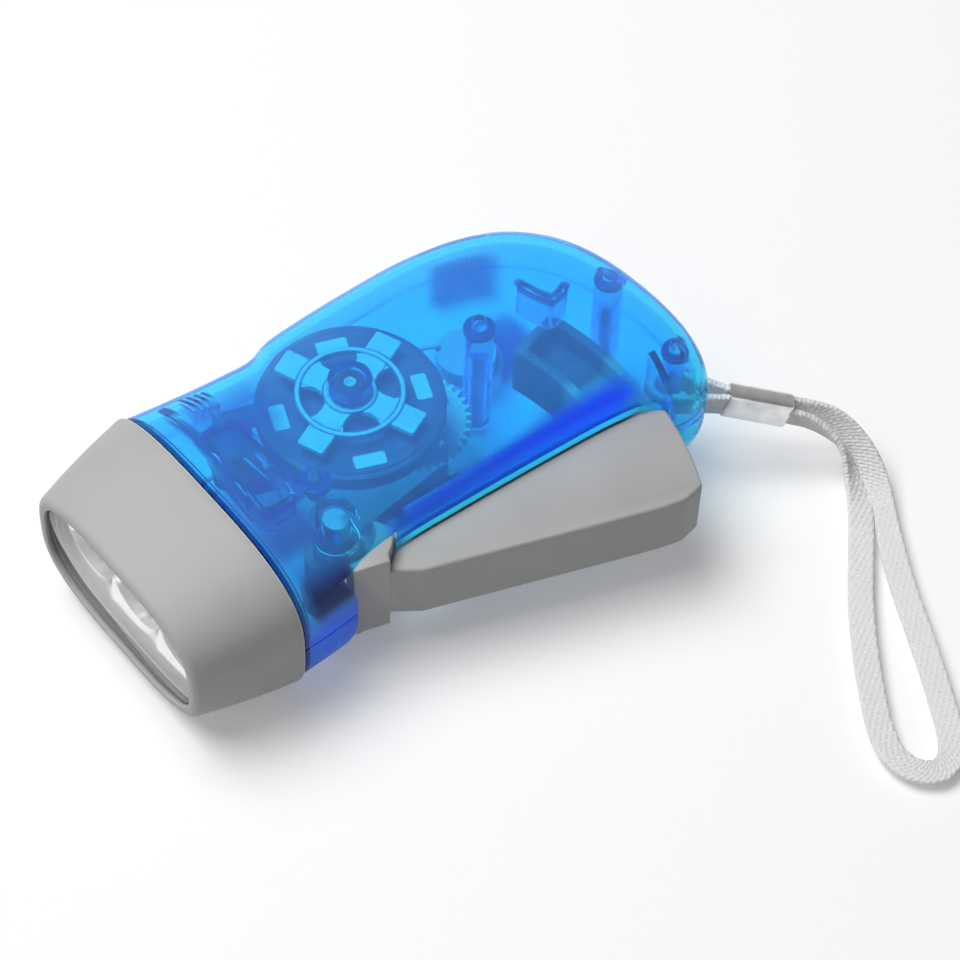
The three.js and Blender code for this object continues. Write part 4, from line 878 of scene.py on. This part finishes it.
def reflector():
    rear, soft = CUP_FRONT + FLANGE, 0.1
    cups = solid(head_loft([(CUP_FRONT, LENS_INSET + soft), (CUP_FRONT + soft, LENS_INSET),
                            (rear - soft, LENS_INSET), (rear, LENS_INSET + soft)]))
    joined(cups, *[turned(cup_profile(CUP_WALL), 56, (CUP_FRONT, y, 0), 0) for y in CUP_PLACES])
    bowl = [(10.4, -0.4), (10.1, 0), (CUP_RADIUS + 0.5, 0.72), (CUP_RADIUS - 0.05, 0.95),
            *cup_profile(0)[3:], (CUP_FLOOR, CUP_DEPTH + 1)]
    cut(cups, *[turned(bowl, 56, (CUP_FRONT, y, 0), 0) for y in CUP_PLACES])
    return trimmed(cups, head_loft([(x, LENS_INSET) for x in (1, CUP_FRONT, CUP_FRONT + 11)]))


def led(y):
    """A 5 mm lamp: flange, barrel and domed end, which points towards the lens."""
    profile = [(2.55, 0), (2.82, 0.08), (2.9, 0.2), (2.9, 0.85), (2.8, 0.98), (LED_RADIUS, 1.0)]
    profile += [(LED_RADIUS * math.cos(a), LED_DOME + LED_RADIUS * math.sin(a))
                for a in np.linspace(0, 1.53, 14)]
    return turned(profile, 40, (LED_BACK, y, 0), 180)


def led_insides(y):
    """The two legs inside a lamp, one ending in the cup that holds its chip."""
    cup = turned([(0.5, 1.0), (0.55, 3.6), (1.0, 4.6), (1.05, 5.0), (0.75, 5.0), (0.45, 4.55)], 20,
                 (LED_BACK, y + 0.4, 0), 180)
    leg = upright([(LED_BACK - 4.9, y - 1.3), (LED_BACK - 4.6, y - 0.7), (LED_BACK - 1, y - 0.75),
                   (LED_BACK - 1, y - 1.25)], -0.3, 0.3)
    chip = box_shape((LED_BACK - 4.72, y + 0.4, 0), (0.25, 0.5, 0.5))
    return joined_shapes(cup, leg, chip)


piece("head_shell", head_bezel(), GREY, node="head_bezel", smooth=40)
piece("lens_pane", lens(), PANE, node="front_lens", smooth=40)
piece("reflector_cups", reflector(), BRIGHT, node="reflector", smooth=40)
for index, y in enumerate(CUP_PLACES, 1):
    piece(f"led_{index}_lamp", led(y), EPOXY, node=f"led_{index}", smooth=50)
    piece(f"led_{index}_leads", led_insides(y), STEEL, smooth=40)


# Body shells
def along_body(pairs):
    return [(lerp(BODY_START, SPINE_END[0], share), y) for share, y in pairs]


FAR_SIDE = along_body((
    (0, 24.3), (0.117, 0.991 * FAR_WIDTH), (0.239, 0.939 * FAR_WIDTH), (0.346, 0.918 * FAR_WIDTH),
    (0.406, 0.978 * FAR_WIDTH), (0.513, FAR_WIDTH), (0.665, 1.004 * FAR_WIDTH), (0.817, 0.987 * FAR_WIDTH),
    (0.939, 0.922 * FAR_WIDTH), (1, TAIL_WIDTH)))
TAIL_END = [(SPINE_END[0] + s * TAIL_REACH, y) for s, y in (
    (0, TAIL_WIDTH), (0.262, 0.884 * TAIL_WIDTH), (0.523, 0.693 * TAIL_WIDTH), (0.756, 0.412 * TAIL_WIDTH),
    (0.907, 0.07 * TAIL_WIDTH), (0.983, -6.5), (1, -14), (0.965, -20), (0.86, -25), (0.698, -27.8),
    (0.488, -28.6), (0.244, -27.4), (0, -25.2))]
NEAR_SIDE = along_body((
    (0, -24.3), (0.087, -24.2), (0.151, -23.9), (0.209, -22.6), (0.33, -21.9), (0.482, -22.3),
    (0.635, -22.9), (0.787, -23.6), (0.909, -24.3), (1, -25.2)))
near_line = catmull(NEAR_SIDE, 600).T
CROWN = 24


def outline_pairs(side_steps=46, tail_steps=60):
    """Points of the body's outline, each with the point of the spine that its section runs to."""
    far_line, tail = catmull(FAR_SIDE, 600).T, catmull(TAIL_END, tail_steps + 1)
    spine = [(x, SPINE_END[1] * smoothstep(x, SPINE_BEND, SPINE_END[0]))
             for x in np.linspace(BODY_START, SPINE_END[0], side_steps + 1)[:-1]]
    far, near = ([((x, np.interp(x, *line)), (x, y)) for x, y in spine] for line in (far_line, near_line))
    return far + [(tuple(p), SPINE_END) for p in tail] + near[::-1]


PAIRS = outline_pairs()


def crown_row(pair, inset, soft=0.0):
    """From the seam up to the spine, over the rounded side."""
    edge, spine = np.array(pair[0]), np.array(pair[1])
    reach = np.linalg.norm(edge - spine)
    share = (reach - inset) / reach
    top = lerp(SHELL_TOP, TAIL_TOP, smoothstep(spine[0], 30, SPINE_END[0])) - inset
    out, up = power_point(np.linspace(0, math.pi / 2, CROWN + 1), SHELL_POWER)
    out[-1] = 0
    out, height = share * out, GAP / 2 + (top - GAP / 2) * up
    if soft:
        out = np.concatenate(((out[0] - soft / reach, out[0] - 0.25 * soft / reach), out))
        height = np.concatenate(((GAP / 2, GAP / 2 + 0.25 * soft), height))
        out[2], height[2] = out[3], GAP / 2 + soft
    return np.column_stack((lerp(spine[0], edge[0], out), lerp(spine[1], edge[1], out), height))


def between_rows(outer, inner):
    """A solid between two sets of rows that run up the body's side and meet over the spine."""
    wide, narrow, count = len(outer[0]), len(inner[0]), len(PAIRS)
    base, extra = count * wide, wide - narrow
    faces = [(k, k + 1, k + 1 + columns, k + columns)
             for columns, start in ((wide, 0), (narrow, base)) for i in range(count - 1)
             for k in range(start + i * columns, start + (i + 1) * columns - 1)]
    faces += [(i * wide, (i + 1) * wide, base + (i + 1) * narrow, base + i * narrow)
              for i in range(count - 1)]
    for i in (0, count - 1):
        a, b = i * wide, base + i * narrow
        faces += [(a + extra + j, a + extra + j + 1, b + j + 1, b + j) for j in range(narrow - 1)]
        faces += [(*range(a, a + extra + 1), b)]
    return np.vstack((*outer, *inner)), faces


def crown_rows(inset, soft=0.0):
    return [crown_row(pair, inset, soft) for pair in PAIRS]


def shell_half():
    """The wall of a half, with the neck that goes into the head."""
    wall = between_rows(crown_rows(0, 0.22), crown_rows(SHELL_WALL))
    inset, thick = HEAD_WALL + GAP, HEAD_WALL + GAP + NECK_WALL
    start, end = HEAD_LENGTH - NECK_LENGTH, BODY_START + SHELL_WALL
    neck = head_loft([(start + 0.3, inset), (end, inset), (end, thick), (start, thick),
                      (start, inset + 0.3)], closed=True)
    return joined(wall, trimmed(neck, box_shape((15, 0, 20 + GAP / 2), (40, 80, 40))))


def standing(half, shapes):
    """Adds what stands on the inside of a half, trimmed to the middle of its wall."""
    filled = between_rows(crown_rows(SHELL_WALL / 2), [[(*spine, GAP / 2)] for _, spine in PAIRS])
    return joined(half, trimmed(joined(*shapes), filled))


def lever_way():
    """Room for the lever's arm and stub, and for the stub's mouth in the body's side."""
    top, stub_top = ARM_HALF + SWING_GAP, STUB_HALF + GAP
    front, rear, side = 29, 36.5, PIVOT[1] - 2 * STUB_RADIUS
    slot = [(PIVOT[0] + BARREL_RADIUS, PIVOT[1])] + arc(PIVOT, ARM_REACH + SWING_GAP, -8, -60, 40) + [
        (PIVOT[0], PIVOT[1] - ARM_REACH)]
    mouth = [(front, PIVOT[1]), (front, side), (rear, side), (rear, PIVOT[1])]
    return joined(upright(slot, -top, top),
                  round_upright(PIVOT, STUB_RADIUS + SWING_GAP, -stub_top, stub_top, 80),
                  upright(mouth, -stub_top, stub_top))


def strap_way():
    near = STRAP_POST[3] + GAP
    middle = tail_centre + away / np.linalg.norm(away) * (near + 6)
    return box_shape(middle, (12, 2 * (near + STRAP_THICKNESS), STRAP_WIDTH + 2 * SWING_GAP), heading)


def slot_end_wall():
    return upright(arc(PIVOT, ARM_REACH + 0.6, -16, -5, 16) + arc(PIVOT, ARM_REACH + 1.8, -5, -16, 16),
                   GAP / 2, SHELL_IN)


def rib(points, thickness, low):
    """An upright rib along a line of plan points, up into the top wall."""
    path = np.array(points, float)
    along = unit(np.gradient(path, axis=0))
    side = np.stack((-along[:, 1], along[:, 0]), axis=1) * thickness / 2
    return upright(np.vstack((path + side, (path - side)[::-1])), low, SHELL_IN, 0.12, 2)


def near_side_shelf(start, end, outer, inner, low, high):
    """A shelf that follows the lever's side of the body."""
    xs = np.linspace(start, end, 30)
    ys = np.interp(xs, *near_line)
    return upright([*zip(xs, ys + outer), *zip(xs[::-1], ys[::-1] + inner)], low, high, 0.2, 2)


SHELL_IN = 17.0  # above any shell, for what is trimmed to it
SPIDER_TOP = 10.304
BUSH_TOP = SPIDER_TOP + 0.5 + 2.0
BUSH_BOSS = BUSH_RADIUS + 1.3
SCREW_TOP = 5.0
SCREW_HEAD = 1.1
HEAD_HOLE = 2.0
HEAD_BOSS = 3.1
GEAR = (59.9975, 1.8407)  # the geared axle, where the pitch circles meet
GEAR_SEAT = -STUB_HALF - 0.7
GEAR_BOSS = 2.6
GEAR_BORE = 1.3
LOW_BUSH_TOP = FLOOR + SHELL_WALL + 2.0 + 1.2


def upper_shell():
    pocket = filleted([(24.4, 9.6, 1.5), (29.9, 8.2, 2), (30.6, 0, 2), (29.4, -8.6, 2), (22.9, -8.4, 2),
                       (23.4, 2, 1.5)], 4)
    shapes = []
    for (_, x, y, radius, _), (collar, level) in zip(POSTS, COLLARS):
        shapes += [round_upright((x, y), radius, GAP / 2, level - 0.1),
                   round_upright((x, y), collar, level - COLLAR_HEIGHT, level, 40, 0.15),
                   round_upright((x, y), COLLAR_NECK, GAP / 2 + 0.1, SHELL_IN)]
    shapes += [
        round_upright(PIVOT, PIVOT_BOSS, STUB_HALF + 2 * GAP, SHELL_IN),
        round_upright(ROTOR, BUSH_BOSS, SPIDER_TOP + 0.5, SHELL_IN),
        slot_end_wall(),
        near_side_shelf(43, 86, 1.0, 5.2, 6.5, 7.9),
        cut(upright(pocket, 7.4, SHELL_IN), upright(inset_outline(anticlockwise(pocket), 0.8), 0, 20)),
        *(rib(line, 1.1, 6) for line in Y_RIB),
        rib(CRESCENT, 0.7, 10.5),
        *(rib(line, 0.6, 9.5) for line in COMB),
    ]
    holes = [round_upright((x, y), SCREW_HOLE, -1, SCREW_TOP, 24) for _, x, y, _, _ in POSTS]
    holes += [round_upright(PIVOT, PIVOT_BORE, STUB_HALF, PIN_END),
              round_upright(ROTOR, BUSH_RADIUS + GAP, SPIDER_TOP - 1, BUSH_TOP + GAP)]
    return cut(standing(shell_half(), shapes), lever_way(), strap_way(), *holes)


def screw_seat(sink):
    return sink + FLOOR + SCREW_HEAD + 1.2


def lower_shell():
    """Built above the seam as the upper half is, then turned over."""
    nest, nest_top = CAPACITOR_RADIUS + GAP + 1, -CAPACITOR_BASE + GAP
    shapes = [round_upright((x, y), radius, GAP / 2, SHELL_IN) for _, x, y, radius, _ in POSTS]
    shapes += [round_upright((x, y), HEAD_BOSS, -screw_seat(sink) - 1.1, SHELL_IN)
               for _, x, y, _, sink in POSTS]
    shapes += [
        round_upright(PIVOT, PIVOT_BOSS, STUB_HALF + 2 * GAP, SHELL_IN),
        round_upright(ROTOR, BUSH_BOSS, -LOW_BUSH_TOP, SHELL_IN),
        round_upright(GEAR, GEAR_BOSS, -GEAR_SEAT, SHELL_IN),
        slot_end_wall(),
        round_upright(CAPACITOR, nest, nest_top, SHELL_IN),
        cut(round_upright(CAPACITOR, nest, -CAPACITOR_BASE - 2.0, nest_top + 0.1),
            round_upright(CAPACITOR, nest - 1, 0, 20)),
    ]
    half = standing(shell_half(), shapes)
    half.data.transform(Matrix.Scale(-1, 4, (0, 0, 1)))
    half.data.flip_normals()
    cut(half, box_shape((60, 0, FLOOR - 10), (140, 90, 20)))
    holes = [round_upright((x, y), SCREW_HOLE, -20, 1, 24) for _, x, y, _, _ in POSTS]
    holes += [round_upright((x, y), HEAD_HOLE, -20, screw_seat(sink), 32) for _, x, y, _, sink in POSTS]
    holes += [round_upright(PIVOT, PIVOT_BORE, -PIN_END, 0),
              round_upright(ROTOR, BUSH_RADIUS + GAP, LOW_BUSH_TOP - 2 - GAP, 0),
              round_upright(GEAR, GEAR_BORE, FLOOR + SHELL_WALL + 0.3, 0, 24)]
    return cut(half, lever_way(), strap_way(), *holes)


piece("body_shell_upper", upper_shell(), BLUE, node="upper_shell", smooth=32)
piece("body_shell_lower", lower_shell(), BLUE, node="lower_shell", smooth=32)


# Lever
def squeeze_lever():
    corners = [(34.6, -23.5, 0), (36.6, -25.0, 0), (39.1, -26.9, 1.5), (52, -31.8, 0), (65, -36.8, 0),
               (75.4, -40.7, 6), (79.3, -41.8, 4)]
    end = arc(PIVOT, ARM_REACH, -27.2, -12, 24)
    inner = [(84, -22.4), (60, -20.4), (40, -18.4), (PIVOT[0] + 4, PIVOT[1] - 2)]
    outline = filleted(corners + [(x, y, 2.4 if k == 0 else 0) for k, (x, y) in enumerate(end + inner)], 6)
    sector_top = -STUB_HALF + 2.2 + GAP
    feet = [(STUB_FOOT, PIVOT[1] - 0.831 * STUB_RADIUS),
            (PIVOT[0] + 0.382 * STUB_RADIUS, PIVOT[1] - 1.034 * STUB_RADIUS)]
    stub = feet + arc(PIVOT, STUB_RADIUS, -62, -30, 16) + arc(PIVOT, BARREL_RADIUS, 0, 180, 32) + [
        (STUB_FOOT, PIVOT[1] - 0.26 * STUB_RADIUS)]
    foot = feet + arc(PIVOT, STUB_RADIUS, -62, -46, 8) + arc(PIVOT, BARREL_RADIUS + 2.4, -46, -106, 16)
    peg = arc(PIVOT, 5.4, 30, 30, 1)[0]
    fin = arc(PIVOT, ARM_REACH - 0.8, -16, 15, 40) + arc(PIVOT, 47.2, 15, -16, 32)
    hollow = arc(PIVOT, ARM_REACH - 2.4, -11, 13.2, 30) + arc(PIVOT, 48.8, 13.2, -11, 30)
    guide = cut(upright(fin, -5, 5, 0.2, 2), upright(hollow, 1, 20), upright(hollow, -20, -1))
    arm = joined(upright(outline, -ARM_HALF, ARM_HALF, 0.55, 4), upright(stub, sector_top, STUB_HALF, 0.35),
                 upright(foot, -STUB_HALF, 0, 0.35), round_upright(peg, 1.1, -STUB_HALF + 0.3, 0),
                 round_upright(peg, 1.9, sector_top, 0), guide)
    room = [(41.5, -25.9), (73, -37.9), (73, -10), (41.5, -10)]
    return cut(arm, round_upright(PIVOT, PIVOT_BORE, -20, 20), round_upright(PIVOT, 6, 3.4, 20),
               upright(room, 1.8 - ARM_HALF, ARM_HALF - 1.8))


piece("lever_handle", squeeze_lever(), GREY, "lever", "squeeze_lever", 30)


# Generator
FLYWHEEL_TOP = 7.6
FLYWHEEL_RADIUS = 15.2
FLYWHEEL_THICKNESS = 2.8
GROOVE = (14.2, 13.9)
SLOT_SIZE = (10.3, 12.9, 2.6)  # its ends' distances from the axle, and half its width
SPIDER_ANGLE = 22
SPIDER_THICKNESS = 1.2
SPIDER_BAR = (-12.6, 12.6, 2.3)


def slot_uprights(low, high):
    slot = rounded_bar(*SLOT_SIZE)
    return [upright(turn_by(slot, SPIDER_ANGLE + 45 + 90 * k, ROTOR), low, high) for k in range(4)]


def flywheel():
    disc = round_upright(ROTOR, FLYWHEEL_RADIUS, FLYWHEEL_TOP - FLYWHEEL_THICKNESS, FLYWHEEL_TOP, 128, 0.25)
    groove = ring_upright(ROTOR, *GROOVE, FLYWHEEL_TOP - 0.2, FLYWHEEL_TOP + 1, 96, 0.02)
    return cut(disc, *slot_uprights(0, 20), groove, round_upright(ROTOR, SHAFT_HOLE, -20, 20))


def spider():
    """The pale frame on the flywheel: a plate with a raised ring, four openings inside it, four blocks
    outside it and four tabs in the flywheel's slots."""
    low, bar = SPIDER_TOP - SPIDER_THICKNESS, rounded_bar(*SPIDER_BAR)
    ring_out, ring_in, hub = FRAME_RINGS
    obj = joined(round_upright(ROTOR, 8.75, low, SPIDER_TOP - 0.35, 96, 0.1),
                 ring_upright(ROTOR, ring_out, ring_in, low + 0.1, SPIDER_TOP, 96, 0.15),
                 *[upright(turn_by(bar, SPIDER_ANGLE + 90 * k, ROTOR), low + 0.05 * k, SPIDER_TOP - 0.1, 0.15)
                   for k in range(2)],
                 ring_upright(ROTOR, hub, 3.6, low + 0.2, SPIDER_TOP, 80, 0.12))
    for k in range(4):
        spot = turn_by([(7.23, 0)], SPIDER_ANGLE + 45 + 90 * k, ROTOR)[0]
        cut(obj, trimmed(round_upright(spot, 3.0, low - 1, SPIDER_TOP + 1, 48),
                         round_upright(ROTOR, ring_in, low - 2, 20, 96)))
    joined(obj, *slot_uprights(FLYWHEEL_TOP - 2.0, FLYWHEEL_TOP - 0.2))
    return cut(obj, round_upright(ROTOR, SHAFT_HOLE, -20, 20))


def coil():
    """A copper winding: turns lie side by side on the bobbin."""
    half, outer, inner, bead, steps = 3.0, 4.0, 2.92 + GAP, 0.13, 17 * 6
    profile = [(outer - bead + bead * abs(math.sin(math.pi * (k / 6))), -half + 2 * half * k / steps)
               for k in range(steps + 1)]
    x, y = turn_by([(COIL_OUT, 0)], COIL_ANGLE, ROTOR)[0]
    return turned([(inner, -half)] + profile + [(inner, half)], 44, (x, y, 1.8), COIL_ANGLE + 90, closed=True)


def return_spring():
    """A torsion spring round the hinge pin; its lower leg presses on the lever, the other on the shell."""
    per_turn, turns, radius, pitch = 24, 3, 3.3, 1.2
    low = 3.4 + GAP + 0.35
    points = [(PIVOT[0] + 3.4, PIVOT[1] - 4.2, low)]
    for k in range(turns * per_turn + 1):
        a = 2 * math.pi * k / per_turn
        points.append((PIVOT[0] + radius * math.cos(a), PIVOT[1] + radius * math.sin(a),
                       low + pitch * k / per_turn))
    x, y, z = points[-1]
    points += [(x + 0.5, y + 2.6, z), (x + 1.1, y + 6.5, z)]
    return swept(catmull(points, 160), [circle((0, 0), 0.35, 10)] * 160)


def screw(x, y, sink):
    """A pan-head screw, seen from below, with a cross recess."""
    top = screw_seat(sink) - GAP
    profile = [(1.0, top - SCREW_HEAD), (1.45, top - 1.0), (1.7, top - 0.7), (1.7, top - 0.05), (1.6, top),
               (0.9, top), (0.9, SCREW_TOP - 1.2), (0.4, SCREW_TOP - GAP)]
    cross = [box_shape((x, y, top - 1.2), (2.0, 0.45, 1.3), angle) for angle in (20, 110)]
    return cut(turned(profile, 32, (x, y, 0)), *cross)


piece("flywheel_disc", flywheel(), FLYWHEEL_STEEL, "rotor", "flywheel")
piece("rotor_frame", spider(), SPIDER, "rotor", "rotor_spider")
piece("copper_coil", coil(), COPPER, node="coil_winding", smooth=60)
spring = piece("lever_spring", return_spring(), STEEL, node="return_spring", smooth=60)
spring.parent = None
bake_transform(spring)
for name, x, y, _, sink in POSTS:
    piece(f"screw_{name}_pan_head", screw(x, y, sink), STEEL, node=f"screw_{name}")

for name, material, bevel in (
    ("led_board", BOARD, 0.05), ("sector_gear", BLUE_NYLON, 0.08), ("drive_pinion", NYLON, 0.06),
    ("speed_wheel", NYLON, 0.06), ("gear_axle", STEEL, 0.1), ("rotor_pinion", BRASS, 0.05),
    ("rotor_shaft", STEEL, 0.1), ("ring_magnet", MAGNET, 0.15), ("stator_core", DARK_STEEL, 0.08),
    ("coil_bobbin", BLACK, 0.06), ("upper_bush", BRONZE, 0.1), ("lower_bush", BRONZE, 0.1),
    ("storage_capacitor", SLEEVE, 0.3), ("capacitor_wires", INSULATION, 0), ("coil_wires", INSULATION, 0),
    ("lever_pin", PIN_STEEL, 0.2),
):
    kept(name, material, bevel, 60 if bevel == 0 else 35)


# Table, light and background
def seen_share(f):
    """1 for rays from the camera and for mirrored and refracted ones, so that metal and glass show it too."""
    rays = f.add("LightPath").outputs
    share = f.math("MAXIMUM", rays["Is Camera Ray"], rays["Is Glossy Ray"])
    return f.math("MAXIMUM", share, rays["Is Transmission Ray"])


def table_finish():
    f = blank("pale table")
    paper = f.spread(f.noise(900, 3), 0, 1)
    diffuse = f.out("BsdfDiffuse", Color=f.blend(paper, (0.75, 0.75, 0.75), (0.77, 0.77, 0.77)))
    return f.show(f.sum(diffuse, f.out("Emission", Color=(1, 1, 1), Strength=f.times(seen_share(f), 0.25))))


def studio():
    """A soft plain light, and white behind the object; its mirror image is darker overhead."""
    f = Nodes(bpy.data.worlds.new("studio"), "Generated")
    mirrored = f.add("LightPath").outputs["Is Glossy Ray"]
    overhead = f.times(f.spread(f.split()["Z"], 0.0, 0.7, 0.25, 0.75), mirrored)
    soft = f.out("Background", Color=(1, 1, 1), Strength=0.06)
    white = f.out("Background", Color=(1, 1, 1), Strength=f.rest(overhead))
    f.add("OutputWorld", Surface=f.mix(seen_share(f), soft, white))
    return f.owner


def lamp(name, place, size, power):
    """A soft lamp aimed at the object."""
    data = bpy.data.lights.new(name, "AREA")
    data.shape = "RECTANGLE"
    data.size, data.size_y = size
    data.energy = power
    obj = linked(name, data)
    obj.location = place
    obj.rotation_euler = (-Vector(place)).to_track_quat("-Z", "Y").to_euler()


mesh = bpy.data.meshes.new("table")
mesh.from_pydata([(-6, -6, 0), (6, -6, 0), (6, 6, 0), (-6, 6, 0)], [], [(0, 1, 2, 3)])
mesh.materials.append(table_finish())
table = linked("table", mesh)
table.location.z = -0.0001
bpy.context.scene.world = studio()
lamp("key", (-0.24, 0.40, 1.10), (0.9, 0.7), 15.0)
lamp("side", (-0.9, -0.15, 0.8), (0.6, 0.6), 1.1)
bpy.context.scene.view_settings.view_transform = "Standard"
